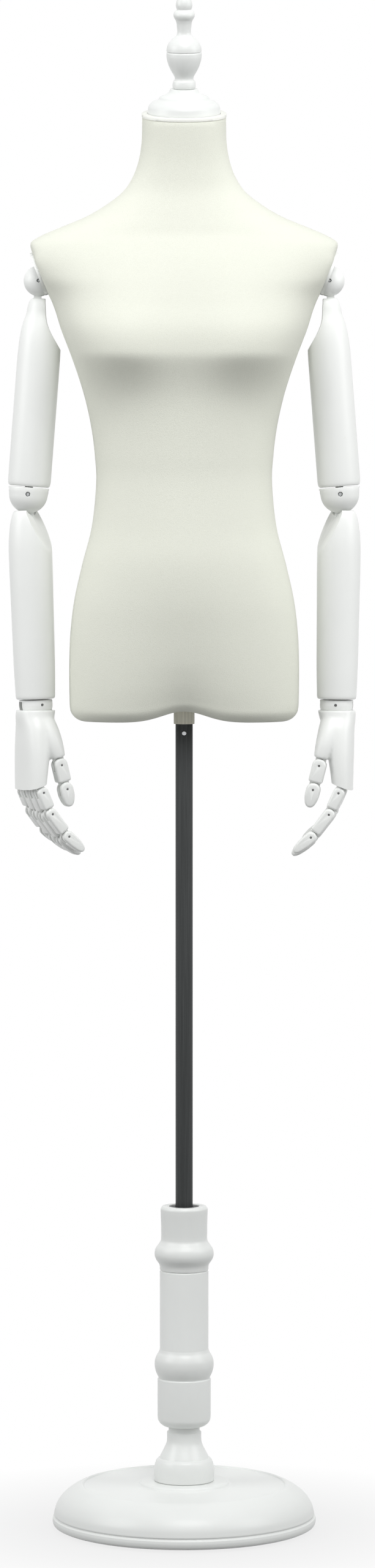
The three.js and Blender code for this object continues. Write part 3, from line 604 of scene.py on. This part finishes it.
def make_stand():
    inner, outer, height = FELT["inner"], FELT["outer"], FELT["height"]
    felt = [(inner, 0), (outer, 0), (outer, height), (inner, height)]
    place(soften(lathe("base_felt_ring", felt, 128, loop=True), 0.6), "base_felt", FELT_CLOTH)
    place(soften(base_disc(), 0.5), "base_disc", SHADE_DARKENED_PAINT)
    place(soften(column_foot(), 0.35), "column_foot", SHADE_DARKENED_PAINT)
    place(soften(column(), 0.45), "column", SHADE_DARKENED_PAINT)
    inner, outer, top = POLE["radius"] + GAP, BUSH["radius"], COLUMN["top"]
    bottom = top - BUSH["height"]
    bush = [
        (inner, bottom), (outer, bottom), (outer, top - 1),
        (outer - 4, top - 0.4), (inner + 0.8, top - 0.4), (inner, top - 1.2),
    ]
    place(soften(lathe("pole_bush_ring", bush, 64, loop=True), 0.3), "pole_bush", PLASTIC)


def make_pole():
    radius, wall = POLE["radius"], POLE["wall"]
    tube = lathe("pole_tube", [
        (radius - wall, POLE["bottom"]), (radius, POLE["bottom"]),
        (radius, POLE["top"]), (radius - wall, POLE["top"]),
    ], 64, loop=True)
    hole = cross_bar(BUTTON["radius"] + GAP, radius)
    cut(tube, moved(hole, shift(y=-radius, z=BUTTON["height"])))
    place(soften(tube, 0.25), "pole", BLACK_PAINT)
    proud, length = BUTTON["proud"], BUTTON["length"]
    profile = outline(
        (0, 0),
        [(1.2, 0.06), (2.2, 0.32), (2.85, 0.9), (3, 1.6)],
        (3, length), (0, length),
    )
    at = shift(y=-radius - proud, z=BUTTON["height"]) @ rotation(-90, "X")
    place(lathe("pole_button_dome", profile, 32), "pole_button", STEEL, at)


# Torso

def torso_station(along):
    first = min(int(along), len(TORSO_STATIONS) - 2)
    last = len(TORSO_STATIONS) - 1
    rows = [TORSO_STATIONS[max(0, min(last, first + k))] for k in (-1, 0, 1, 2)]
    t = along - first
    values = []
    for p0, p1, p2, p3 in zip(*rows):
        rise, following = (p2 - p0) / 2, (p3 - p1) / 2
        cubic = (2 * (p1 - p2) + rise + following) * t + 3 * (p2 - p1) - 2 * rise - following
        values.append((cubic * t + rise) * t + p1)
    return values


def arch_lift(x):
    """How far the middle of the lower edge is above its sides."""
    return ARCH["height"] * bump(x, ARCH["width"])


def armhole_frame(side):
    turn = Euler((0, side * math.radians(90 + ARMHOLE["tilt"]), 0)).to_matrix().to_4x4()
    return shift(side * ARMHOLE["x"], 0, ARMHOLE["z"]) @ turn


def flatten_armholes(point):
    """Presses the shoulder ends flat, with a soft edge where the jersey wraps round."""
    for side in (-1, 1):
        local = armhole_frame(side).inverted() @ point
        up = -side * local.x
        soft = 2.2 + 3.8 * smoothstep(16, 34, up)
        beyond = local.z
        pressed = beyond - soft * math.log1p(math.exp(clamp(beyond / soft, -30, 30)))
        weight = smoothstep(-46, -18, up)
        local.z = beyond + (pressed - beyond) * weight
        if point.x * side > 0:
            point = armhole_frame(side) @ local
    return point


def seam_depth(y, z, angle):
    """The side seams that run from the neck over the shoulders and down, and the turned hem."""
    forward = 4 + 10 * smoothstep(1690, 1790, z)
    side = bump(y + forward, 1.6) * smoothstep(0.25, 0.6, abs(math.cos(angle)))
    hem = bump(z - (TORSO_BOTTOM + 17), 1.5)
    return 0.55 * side + 0.5 * hem


def bust_share(x, above):
    """One broad bust: full on both sides, a shallow valley between, a crease below."""
    valley = 1 - BUST["valley"] * bump(x, BUST["valley_width"])
    across = valley * bump(max(abs(x) - BUST["wide"], 0), BUST["edge"])
    if above > 0:
        return across * bump(above, BUST["above"])
    return across * math.exp(-((-above / BUST["below"]) ** BUST["crease"]))


def torso_point(z, half_width, front, back, angle, inset):
    across, deep = super_ellipse(angle, TORSO_ROUNDNESS)
    x = across * (half_width - inset)
    y = deep * ((front if deep < 0 else back) - inset)
    facing = abs(deep)
    if deep < 0:
        groin = bump(x, GROIN["spread_x"]) * clamp((GROIN["top"] - z) / GROIN["height"]) ** 2
        y += GROIN["depth"] * groin * facing
        y -= BUST["depth"] * bust_share(x, z - BUST["z"]) * facing ** 0.45
    else:
        seat = bump(abs(x) - SEAT["x"], SEAT["spread_x"]) * bump(z - SEAT["z"], SEAT["spread_z"])
        y += SEAT["depth"] * facing * seat
    depth = seam_depth(y, z, angle)
    outwards = Vector((x, y, 0)).normalized()
    rise = arch_lift(x) * clamp((TORSO_BOTTOM + ARCH["fade"] - z) / ARCH["fade"])
    forward = NECK["forward"] * smoothstep(NECK["root"], NECK["z"], z)
    point = Vector((x, y - forward, z + rise)) - outwards * depth
    return flatten_armholes(point)


def torso_rows(per_station):
    """Height, half width, depths and inset of each row, from the rounded lower edge up."""
    _, half_width, front, back = TORSO_STATIONS[0]
    rows = []
    for step in range(LOWER_EDGE["steps"]):
        turn = math.pi / 2 * step / LOWER_EDGE["steps"]
        z = TORSO_BOTTOM + LOWER_EDGE["height"] * (1 - math.cos(turn))
        rows.append((z, half_width, front, back, LOWER_EDGE["radius"] * (1 - math.sin(turn))))
    for row in range((len(TORSO_STATIONS) - 1) * per_station + 1):
        rows.append((*torso_station(row / per_station), 0))
    return rows


def torso_core():
    """The moulded body under the jersey, with the collar's hole and the plates' pockets."""
    sides, under_jersey = 128, 2.1
    angles = [2 * math.pi * i / sides for i in range(sides)]
    skin = [
        [torso_point(z, half, forward, rear, angle, inset) for angle in angles]
        for z, half, forward, rear, inset in torso_rows(3)
    ]
    inner = []
    for row, ring in enumerate(skin):
        lower, upper = skin[max(row - 1, 0)], skin[min(row + 1, len(skin) - 1)]
        moved_in = []
        for i, point in enumerate(ring):
            along = ring[(i + 1) % sides] - ring[i - 1]
            outwards = along.cross(upper[i] - lower[i]).normalized()
            moved_in.append(point - outwards * under_jersey)
        inner.append(moved_in)
    tube_radius = POLE["radius"] + 2 * GAP + COLLAR["wall"]
    flange_radius = COLLAR["flange"] + GAP
    collar_top = POLE["top"] + COLLAR["cap"] + 2 * GAP
    shelf = COLLAR["flange_top"] + GAP

    def circle(radius, z):
        return [Vector((radius * math.cos(angle), radius * math.sin(angle), z)) for angle in angles]

    floor = circle(flange_radius, 0)
    halfway = [a.lerp(b, 0.5) for a, b in zip(floor, inner[0])]
    for point in floor + halfway:
        point.z = TORSO_BOTTOM + under_jersey + arch_lift(point.x)
    rings = [(tube_radius, collar_top), (tube_radius, shelf), (flange_radius, shelf)]
    well = [circle(radius, z) for radius, z in rings]
    core = loft("torso_paper_core", [*well, floor, halfway, *inner])
    trim = moved(block((-90, -90, -2.2), (90, 90, 60)), neck_frame)
    pockets = [plate_pocket(side, 1, 40) for side in (-1, 1)]
    studs = [
        moved(stud_hole(side, seat_floor - STUD_LENGTH - GAP), armhole_frame(side))
        for side in (-1, 1)
    ]
    return cut(core, trim, *pockets, *studs)


def torso_cover():
    """The jersey skin, open round the collar below and under the cap above."""
    sides, collar_hole = 224, 14.4
    _, half_width, front, back = TORSO_STATIONS[0]
    angles = [2 * math.pi * i / sides for i in range(sides)]
    rings = []
    innermost = [torso_point(TORSO_BOTTOM, half_width, front, back, angle, 62) for angle in angles]
    for share in (0.0, 0.15, 0.35, 0.6, 0.8):
        ring = []
        for angle, outer in zip(angles, innermost):
            inner = Vector((collar_hole * math.cos(angle), collar_hole * math.sin(angle)))
            at = inner.lerp(outer.xy, share)
            ring.append(Vector((*at, TORSO_BOTTOM + arch_lift(at.x))))
        rings.append(ring)
    rows = [(TORSO_BOTTOM, half_width, front, back, inset) for inset in (62, 40)] + torso_rows(6)
    for z, half, forward, rear, inset in rows:
        rings.append([torso_point(z, half, forward, rear, angle, inset) for angle in angles])
    cover = loft("torso_jersey", rings)
    trim_neck(cover)
    shell = cover.modifiers.new("shell", "SOLIDIFY")
    shell.thickness = 1.3
    shell.offset = -1
    apply_modifiers(cover)
    for side in (-1, 1):
        cut(cover, plate_pocket(side, 0.5, 30))
    paint(cover, IVORY_JERSEY, SELVEDGE)
    to_neck = neck_frame.inverted()
    for polygon in cover.data.polygons:
        polygon.material_index = int((to_neck @ polygon.center).z > -NECK_BAND)
    return cover


neck_frame = shift(y=-NECK["forward"], z=NECK["z"]) @ rotation(NECK["tilt"], "X")


def trim_neck(cover):
    """Opens both ends, and turns the jersey over the top of the neck, with a raised band."""
    up = neck_frame.to_3x3() @ Vector((0, 0, 1))
    to_neck = neck_frame.inverted()
    skin = bmesh.new()
    skin.from_mesh(cover.data)
    ends = [face for face in skin.faces if len(face.verts) > 20]
    bmesh.ops.delete(skin, geom=ends, context="FACES_ONLY")
    for below in (0.9, NECK_BAND - 0.5, NECK_BAND, NECK_BAND + 0.6, 0):
        bmesh.ops.bisect_plane(
            skin, geom=[*skin.verts, *skin.edges, *skin.faces],
            plane_co=neck_frame.translation - up * below, plane_no=up, clear_outer=below == 0,
        )
    for vertex in skin.verts:
        local = to_neck @ vertex.co
        if local.z > -30:
            swell = 0.6 if -NECK_BAND + 0.01 < local.z < -0.5 else 0.0
            swell -= 0.5 * bump(local.z + NECK_BAND, 0.4)
            if local.z > -0.5:
                swell -= 0.4
            outwards = Vector((local.x, local.y, 0)).normalized()
            vertex.co = neck_frame @ (local + outwards * swell)
    rim = [
        edge for edge in skin.edges
        if edge.is_boundary and all(abs((to_neck @ v.co).z) < 0.05 for v in edge.verts)
    ]
    for radius in (49.5, CAP["radius"] + GAP + 0.2):
        made = bmesh.ops.extrude_edge_only(skin, edges=rim)["geom"]
        rim = [item for item in made if isinstance(item, bmesh.types.BMEdge)]
        for vertex in {v for edge in rim for v in edge.verts}:
            local = to_neck @ vertex.co
            outwards = Vector((local.x, local.y, 0)).normalized()
            vertex.co = neck_frame @ (outwards * radius)
    bmesh.ops.recalc_face_normals(skin, faces=skin.faces)
    skin.to_mesh(cover.data)
    skin.free()


def plate_body(side, margin, bottom, top):
    body = bar(1, bottom, top, 96)
    stretch = Matrix.Diagonal((PLATE["half_height"] + margin, PLATE["half_width"] + margin, 1, 1))
    return moved(body, shift(x=-side * PLATE["up"]) @ stretch)


def plate_pocket(side, margin, top):
    return moved(plate_body(side, margin, -PLATE["depth"] - 1, top), armhole_frame(side))


seat_floor = PLATE["proud"] - BALL_SEAT["depth"]


def stud_hole(side, bottom):
    return moved(bar(SHOULDER["stud"] + GAP, bottom, 0), shift(x=side * BALL_SEAT["down"]))


def shoulder_plate(side):
    plate = plate_body(side, 0, -PLATE["depth"], PLATE["proud"])
    seat = bar(SHOULDER["barrel"] + BALL_SEAT["margin"], seat_floor, 20, 64)
    moved(seat, shift(x=side * BALL_SEAT["down"]))
    return soften(cut(plate, seat, stud_hole(side, seat_floor - STUD_LENGTH)), 1.0, 3)


def neck_cap():
    radius, height = CAP["radius"], CAP["height"]
    socket = FINIAL_STUD + GAP
    profile = outline(
        (0, -COVER), (radius - 1, -COVER), (radius, -0.4),
        [(radius + 0.2, 1.8), (radius, 4)],
        [(radius - 1, 8.6), (radius - 3.4, 12.2), (radius - 6, 14.4)],
        (radius - 7.2, 14.6),
        [(radius - 11, 16), (radius - 13.6, 18), (radius - 15, 20.6)],
        (radius - 16.2, 21),
        [(radius - 22, 23.4), (radius - 26, 26), (radius - 27.6, 28.6), (radius - 28.6, height)],
        (socket, height), (socket, height - CAP["socket"]), (0, height - CAP["socket"]),
    )
    return soften(lathe("neck_cap_turned", profile, 128), 0.4)


def finial():
    bottom = CAP["height"] + GAP
    profile = outline(
        (0, 13.1), (FINIAL_STUD, 13.1), (FINIAL_STUD, bottom), (13.4, bottom),
        [(14.5, bottom + 2), (14.6, 37), (14, 40)],
        [(12.4, 41.6), (11.8, 43.6), (12.4, 46.4), (15, 51), (18.2, 57), (20.8, 64), (22.2, 71),
         (22.2, 76)],
        [(21.5, 77.2), (22.2, 78.4)],
        [(21.8, 82.5), (19.8, 87.8), (16.4, 92), (12.2, 95.8), (9.6, 98.4), (8.7, 101.4),
         (8.9, 107), (9.6, 113), (10.8, 117.2)],
        [(12.2, 119.4), (13.3, 122), (13.4, 124.6), (12.2, 127.4), (10, 129.4)],
        [(9.2, 130.4), (9.8, 132)],
        [(10.4, 135.6), (9.9, 140), (8, 144.4), (5, 147.2), (0, 148.3)],
    )
    return soften(lathe("finial_turned", profile, 80), 0.3, 2, 50)


def pole_collar():
    inner = POLE["radius"] + GAP
    outer = inner + COLLAR["wall"]
    top = POLE["top"] + GAP + COLLAR["cap"]
    flange, low, high = COLLAR["flange"], COLLAR["flange_bottom"], COLLAR["flange_top"]
    profile = [
        (0, POLE["top"] + GAP), (inner, POLE["top"] + GAP), (inner, COLLAR["bottom"]),
        (outer, COLLAR["bottom"]), (outer, low), (flange, low), (flange, high), (outer, high),
        (outer, top), (0, top),
    ]
    return soften(lathe("pole_collar_tube", profile, 64), 0.4)


def make_torso():
    jersey_cover = place(torso_cover(), "torso_cover", None, angle=50)
    place(torso_core(), "torso_core", PAPER_PULP, angle=50)
    place(neck_cap(), "neck_cap", SHADE_DARKENED_PAINT, neck_frame)
    place(finial(), "finial", SHADE_DARKENED_PAINT, neck_frame)
    place(pole_collar(), "pole_collar", CREAM_PAINT)
    for name, side, _, _ in SIDES:
        plate = shoulder_plate(side)
        plate.name = f"{name}_shoulder_plate_oval"
        place(plate, f"{name}_shoulder_plate", WHITE_PAINT, armhole_frame(side))


# Joints

def ball_arc(radius, degrees):
    """Points of a half circle in (radius, height), from straight down."""
    angles = [math.radians(degree) for degree in degrees]
    return [(radius * math.sin(angle), -radius * math.cos(angle)) for angle in angles]


def joint_ball(ball):
    """Half ball with a slot below; its pin lies along Y through the origin."""
    radius, barrel, drop = ball["radius"], ball["barrel"], ball["drop"]
    profile = [(0, -radius), *ball_arc(radius, range(6, 91, 6))]
    profile += [(barrel, drop * 0.3), (barrel, drop - 0.6), (barrel - 0.6, drop)]
    profile += [(ball["stud"], drop), (ball["stud"], drop + STUD_LENGTH), (0, drop + STUD_LENGTH)]
    body = lathe("ball", profile, 72)
    half_slot, past = ball["slot"] / 2, 1.5 * radius
    slot = block((-past, -half_slot, -radius - 1), (past, half_slot, drop - ball["web"]))
    cut(body, slot, cross_bar(ball["pin"] + GAP, 3 * radius))
    return soften(body, 0.7, 2)


def joint_pin(ball):
    """Steel pin with small domed ends."""
    half, radius = ball["radius"] - PIN_INSET, ball["pin"]
    profile = outline(
        (0, -half),
        [(radius * 0.5, -half + 0.1), (radius * 0.85, -half + 0.4), (radius, -half + 1)],
        (radius, half - 1),
        [(radius * 0.85, half - 0.4), (radius * 0.5, half - 0.1), (0, half)],
    )
    return moved(lathe("pin", profile, 24), rotation(90, "X"))


def tongue(half_width, reach, thickness):
    """Flat bar from a reach above or below the pin, round on the pin's far side."""
    steps, down = 20, -math.copysign(half_width, reach)
    angles = [math.pi * step / steps for step in range(steps + 1)]
    arc = [(half_width * math.cos(angle), down * math.sin(angle)) for angle in angles]
    return prism([(half_width, reach), *arc, (-half_width, reach)], thickness)


def with_tongue(body, ball, reach):
    """Hollows the top of a limb for the ball above, and adds the tongue that goes in its slot."""
    clear = max(ball["radius"], math.hypot(ball["barrel"], ball["drop"])) + JOINT_GAP
    half_width, thickness = ball["drop"] - ball["web"] - JOINT_GAP, ball["slot"] - 2 * GAP
    cut(body, lathe("hollow", [(0, -clear), *ball_arc(clear, range(5, 180, 5)), (0, clear)], 64))
    join(body, tongue(half_width, -reach, thickness))
    return cut(body, cross_bar(ball["pin"] + GAP, ball["slot"] + 1))


def upper_arm():
    length, radius, neck = UPPER_ARM["length"], UPPER_ARM["radius"], UPPER_ARM["neck"]
    end = length - ELBOW["drop"] - END_GAP
    profile = outline(
        (0, -end), (radius - 3.4, -end),
        [(radius - 1.6, -end + 0.8), (radius - 0.6, -end + 3), (radius, -end + 8)],
        (radius, -110),
        [(radius - 0.2, -92), (radius - 1.2, -72), (radius - 3.6, -56), (neck + 1.2, -42),
         (neck - 0.4, -31), (neck - 3, -24), (neck - 6, -22)],
        (0, -22),
    )
    body = moved(lathe("upper_arm", profile, 96), shift(x=UPPER_ARM["offset"]))
    scoop = prism(outline(
        (10, -5), (10, -25),
        [(14.7, -53.6), (36, -88)],
        (70, -88), (70, -5),
    ), 90)
    cut(body, scoop)
    with_tongue(body, SHOULDER, 45)
    stud = bar(ELBOW["stud"] + GAP, -end - 1, -end + STUD_LENGTH + 1)
    return soften(cut(body, moved(stud, shift(x=UPPER_ARM["offset"]))), 0.7, 2)


def forearm():
    length, radius = FOREARM["length"], FOREARM["radius"]
    wrist, neck = FOREARM["wrist"], FOREARM["neck"]
    end = length - WRIST["drop"] - END_GAP
    profile = outline(
        (0, -end), (wrist - 2.4, -end),
        [(wrist - 1.2, -end + 0.6), (wrist - 0.4, -end + 2.6), (wrist, -end + 10),
         (wrist + 0.9, -end + 40), (radius - 0.5, -140), (radius, -92), (radius - 0.5, -60),
         (radius - 3, -38), (neck + 0.8, -25), (neck - 2, -20.6)],
        (neck - 5, -19.8), (0, -19.8),
    )
    body = lathe("forearm", profile, 96)
    scoop = prism([(4, -5), (4, -23), (31, -81), (70, -81), (70, -5)], 90)
    cut(body, moved(scoop, rotation(-SCOOP_TURN, "Z")))
    with_tongue(body, ELBOW, 45)
    stud = bar(WRIST["stud"] + GAP, -end - 1, -end + STUD_LENGTH + 1)
    return soften(cut(body, stud), 0.7, 2)


# Hands

def super_ring(centre, half_x, half_y, sides, roundness, matrix=Matrix.Identity(4)):
    ring = []
    for i in range(sides):
        angle = 2 * math.pi * i / sides
        x, y = super_ellipse(angle, roundness)
        ring.append(matrix @ (Vector(centre) + Vector((x * half_x, y * half_y, 0))))
    return ring


thumb_pin = Vector((THUMB["x"], THUMB["y"], -THUMB["drop"]))
thumb_lean = math.radians(THUMB["lean"])
thumb_line = Vector((math.sin(thumb_lean), 0, -math.cos(thumb_lean)))
knuckle_frame = shift(PALM["centre"], 0, -PALM["length"]) @ rotation(180 - PALM["slant"], "Y")


def knuckle_drop(half_depth):
    return half_depth + KNUCKLE_GAP


knuckle_pin = knuckle_frame @ Vector((0, 0, knuckle_drop(FINGER["half_depth"])))


def thumb_root():
    start = Vector((THUMB_ROOT["x"], THUMB_ROOT["y"], -THUMB_ROOT["drop"]))
    end = thumb_pin - thumb_line * knuckle_drop(THUMB["half_depth"])
    middle = end - thumb_line * THUMB_ROOT["bend"]
    end_radius = THUMB["half_depth"] + THUMB_ROOT["end"]
    rings = []
    for step in range(17):
        t = step / 16
        at = start * (1 - t) ** 2 + middle * 2 * t * (1 - t) + end * t * t
        along = (middle - start) * 2 * (1 - t) + (end - middle) * 2 * t
        radius = THUMB_ROOT["radius"] * (1 - t) + end_radius * t
        turn = Vector((0, 0, -1)).rotation_difference(along.normalized()).to_matrix().to_4x4()
        rings.append(super_ring((0, 0, 0), radius, radius, 40, 2, Matrix.Translation(at) @ turn))
    return loft("thumb_root", rings)


def finger_tongue(matrix, half_depth):
    half_width, reach = half_depth - FINGER["tongue_inset"], knuckle_drop(half_depth) + 4
    return moved(tongue(half_width, reach, FINGER["tongue"]), matrix)


def finger_hole(matrix):
    return moved(cross_bar(FINGER["pin"] + JOINT_GAP, 2 * FINGER["tongue"], 20), matrix)


def palm():
    rings = [
        super_ring((x, y, -drop), half_x, half_y, 64, PALM["roundness"])
        for drop, x, y, half_x, half_y in curve(PALM_SECTIONS, 8)
    ]
    body = join(loft("palm", rings), thumb_root())
    even = body.modifiers.new("even", "REMESH")
    even.mode = "VOXEL"
    even.voxel_size = PALM["voxel"]
    apply_modifiers(body)
    melt = body.modifiers.new("melt", "SMOOTH")
    melt.factor, melt.iterations = PALM["melt"], PALM["melts"]
    apply_modifiers(body)
    beyond = moved(block((-90, -90, 0), (90, 90, 120)), knuckle_frame)
    thumb_end = thumb_pin - thumb_line * knuckle_drop(THUMB["half_depth"])
    thumb_turn = shift(*thumb_end) @ rotation(180 - THUMB["lean"], "Y")
    past_thumb = block((-60, -16, 0), (THUMB["half_depth"] + THUMB_ROOT["end"], 16, 20))
    top = block((-60, -60, -7), (60, 60, 40))
    cut(body, beyond, moved(past_thumb, thumb_turn), top)
    with_tongue(body, WRIST, 30)
    slanted = rotation(-PALM["slant"], "Y")
    knuckles = [shift(knuckle_pin.x, y, knuckle_pin.z) @ slanted for _, y, _ in FINGERS]
    thumb = shift(*thumb_pin) @ rotation(-THUMB["lean"], "Y")
    for matrix in knuckles:
        join(body, finger_tongue(matrix, FINGER["half_depth"]))
    join(body, finger_tongue(thumb, THUMB["half_depth"]))
    cut(body, *[finger_hole(matrix) for matrix in (*knuckles, thumb)])
    return soften(body, 0.6, 2, 44)


def phalanx(length, half_depth, is_tip):
    """A finger piece from the pin at its slotted top to the tongue or the tip at its end."""
    half_width = FINGER["half_width"]
    angles = [math.pi * i / 16 for i in range(17)]
    shape = [(half_depth * math.cos(angle), half_depth * math.sin(angle)) for angle in angles]
    if is_tip:
        length *= FINGER_TIP["length"]
        side = [(1, 0.3), (0.94, 0.55), (0.74, 0.84), (0.4, 0.97)]
        tip = [(-x, z) for x, z in side] + [(0, 1)] + side[::-1]
        shape += curve([(x * half_depth, -z * length) for x, z in tip], 3)
    else:
        end = knuckle_drop(half_depth) - length
        shape += [(-half_depth, end), (half_depth, end)]
    body = soften(prism(shape, 2 * half_width), 3.0, 4, 50)
    if is_tip:
        for vertex in body.data.vertices:
            share = clamp((-vertex.co.z / length - FINGER_TIP["start"]) / (1 - FINGER_TIP["start"]))
            vertex.co.y *= 1 - FINGER_TIP["narrow"] * share ** FINGER_TIP["power"]
            vertex.co.x *= 1 - FINGER_TIP["thin"] * share ** FINGER_TIP["power"]
    half_slot, past = FINGER["tongue"] / 2 + GAP, 2 * half_depth
    slot_bottom = FINGER["tongue_inset"] - half_depth - JOINT_GAP
    cut(body, block((-past, -half_slot, slot_bottom), (past, half_slot, half_depth + 2)))
    if not is_tip:
        join(body, finger_tongue(shift(z=-length), half_depth))
        cut(body, finger_hole(shift(z=-length)))
    cut(body, cross_bar(FINGER["pin"] + 0.1, 3 * half_width, 20))
    return soften(body, 0.35, 2, 40)


def pinned(piece, radius, half_length):
    """Adds the steel pin that a finger piece or the wrist turns on, in the same piece."""
    pin = cross_bar(radius, 2 * half_length, 20)
    count = len(piece.data.polygons)
    both = bmesh.new()
    both.from_mesh(piece.data)
    both.from_mesh(pin.data)
    both.to_mesh(piece.data)
    both.free()
    remove(pin)
    # The pins take the darkened steel, which is painted shade of their holes.
    paint(piece, WHITE_PAINT, PIN_STEEL_PAINTED_SHADE)
    for polygon in piece.data.polygons:
        polygon.material_index = int(polygon.index >= count)
    return piece


MIRROR = Matrix.Diagonal((-1, 1, 1, 1))


def make_arms():
    """Each shape is made once, and copied and placed on both sides."""
    shapes = {
        "shoulder_ball": joint_ball(SHOULDER), "shoulder_pin": joint_pin(SHOULDER),
        "elbow_ball": joint_ball(ELBOW), "elbow_pin": joint_pin(ELBOW),
        "wrist_ball": pinned(joint_ball(WRIST), WRIST["pin"] + 0.1, WRIST["radius"] - PIN_INSET),
        "upper_arm": upper_arm(), "forearm": forearm(), "palm": palm(),
    }
    digits = [("thumb", THUMB["lengths"], THUMB["half_depth"])]
    digits += [(name, lengths, FINGER["half_depth"]) for name, _, lengths in FINGERS]
    for digit, lengths, half_depth in digits:
        for k, length in enumerate(lengths):
            piece = phalanx(length, half_depth, is_tip=k == len(lengths) - 1)
            shapes[f"{digit}_{k + 1}"] = pinned(piece, FINGER["pin"], FINGER["half_width"] - 0.6)

    for name, side, lean, turn in SIDES:
        inward = -side

        def put(shape, matrix, look=WHITE_PAINT):
            piece = new_object(f"{name}_{shape}_wood", shapes[shape].data.copy())
            mirrored = MIRROR if inward < 0 else Matrix.Identity(4)
            keep = len(piece.data.materials) > 1
            place(piece, f"{name}_{shape}", None if keep else look, matrix @ mirrored)

        above_seat = seat_floor + GAP + SHOULDER["drop"]
        pin = armhole_frame(side) @ Vector((side * BALL_SEAT["down"], 0, above_seat))
        shoulder = Matrix.Translation(pin)
        turning = shoulder @ rotation(inward * (90 - ARMHOLE["tilt"]), "Y")
        put("shoulder_ball", turning)
        put("shoulder_pin", turning, STEEL)
        arm = shoulder @ rotation(inward * UPPER_ARM["lean"], "Y")
        put("upper_arm", arm)
        elbow = arm @ shift(inward * UPPER_ARM["offset"], 0, -UPPER_ARM["length"])
        put("elbow_ball", elbow)
        put("elbow_pin", elbow, STEEL)
        lower = elbow @ rotation(-inward * (UPPER_ARM["lean"] + lean), "Y")
        put("forearm", lower)
        wrist = lower @ shift(0, 0, -FOREARM["length"]) @ rotation(inward * turn, "Z")
        put("wrist_ball", wrist)
        hand = wrist @ rotation(inward * lean, "Y")
        put("palm", hand)
        thumb = hand @ shift(inward * thumb_pin.x, thumb_pin.y, thumb_pin.z)
        put_digit(put, "thumb", thumb, inward, THUMB["lengths"], (THUMB["lean"], 0))
        for finger, y, lengths in FINGERS:
            knuckle = hand @ shift(inward * knuckle_pin.x, y, knuckle_pin.z)
            put_digit(put, finger, knuckle, inward, lengths, FINGER_BENDS)
    for piece in shapes.values():
        remove(piece)


def put_digit(put, digit, pivot, inward, lengths, bends):
    for k, (length, bend) in enumerate(zip(lengths, bends)):
        pivot = pivot @ rotation(-inward * bend, "Y")
        put(f"{digit}_{k + 1}", pivot)
        pivot = pivot @ shift(z=-length)


make_stand()
make_pole()
make_torso()
make_arms()

# CAD nodes that stay: their shapes are right and they hardly show
for name in ("guide_tube", "base_bolt"):
    paint(frame["nodes"][name], STEEL)


# Studio

def math_node(tree, operation, first, second):
    made = node(tree, "ShaderNodeMath", operation=operation)
    for value, socket in zip((first, second), made.inputs):
        if isinstance(value, float):
            socket.default_value = value
        else:
            tree.links.new(value, socket)
    return made.outputs[0]


def white_where_seen(tree, lit, white, share):
    """Mixes in plain white for what the camera and reflections see."""
    path = node(tree, "ShaderNodeLightPath").outputs
    seen = math_node(tree, "MAXIMUM", path["Is Camera Ray"], path["Is Glossy Ray"])
    seen = math_node(tree, "MAXIMUM", seen, path["Is Transmission Ray"])
    mix = node(tree, "ShaderNodeMixShader")
    tree.links.new(math_node(tree, "MULTIPLY", seen, share), mix.inputs["Fac"])
    tree.links.new(lit.outputs[0], mix.inputs[1])
    tree.links.new(white.outputs[0], mix.inputs[2])
    return mix.outputs[0]


def make_floor():
    """Catches the shadow near the stand, and turns plain white further out."""
    reach = FLOOR["reach"]
    floor = block((-reach, -reach, -FLOOR["depth"]), (reach, reach, 0))
    moved(floor, METRES @ shift(z=-FLOOR["below"])).name = "floor"
    material = bpy.data.materials.new("floor_white")
    material.use_nodes = True
    tree = material.node_tree
    tree.nodes.clear()
    lit = node(tree, "ShaderNodeBsdfDiffuse", Color=FLOOR["color"])
    white = node(tree, "ShaderNodeEmission", Color=(1, 1, 1, 1), Strength=1.0)
    spot = node(tree, "ShaderNodeTexCoord")
    length = node(tree, "ShaderNodeVectorMath", operation="LENGTH")
    tree.links.new(spot.outputs["Object"], length.inputs[0])
    share = between(tree, length.outputs["Value"], *FLOOR_GLOW)
    out = node(tree, "ShaderNodeOutputMaterial")
    tree.links.new(white_where_seen(tree, lit, white, share), out.inputs["Surface"])
    floor.data.materials.append(material)


def make_world():
    world = bpy.data.worlds.new("studio")
    bpy.context.scene.world = world
    world.use_nodes = True
    tree = world.node_tree
    tree.nodes.clear()
    lit = node(tree, "ShaderNodeBackground", Color=(0.98, 0.99, 1.0, 1), Strength=WORLD_STRENGTH)
    white = node(tree, "ShaderNodeBackground", Color=(1, 1, 1, 1), Strength=1.0)
    out = node(tree, "ShaderNodeOutputWorld")
    tree.links.new(white_where_seen(tree, lit, white, 1.0), out.inputs["Surface"])


def make_lamp(name, at, aim, size, power):
    data = bpy.data.lights.new(name, "AREA")
    data.shape = "RECTANGLE"
    data.size, data.size_y = size
    data.energy = power
    lamp = new_object(name, data)
    lamp.location = at
    lamp.rotation_euler = (Vector(aim) - Vector(at)).to_track_quat("-Z", "Y").to_euler()
    lamp.visible_camera = False


def make_camera():
    view = bpy.data.cameras.new("camera")
    view.sensor_width, view.lens = CAMERA["sensor"], CAMERA["lens"]
    camera = new_object("camera", view)
    camera.location = CAMERA["at"]
    camera.rotation_euler = (math.radians(90 - CAMERA["down"]), 0, 0)
    bpy.context.scene.camera = camera
    bpy.context.scene.view_settings.view_transform = "Standard"


make_floor()
make_world()
for lamp in LAMPS:
    make_lamp(*lamp)
make_camera()
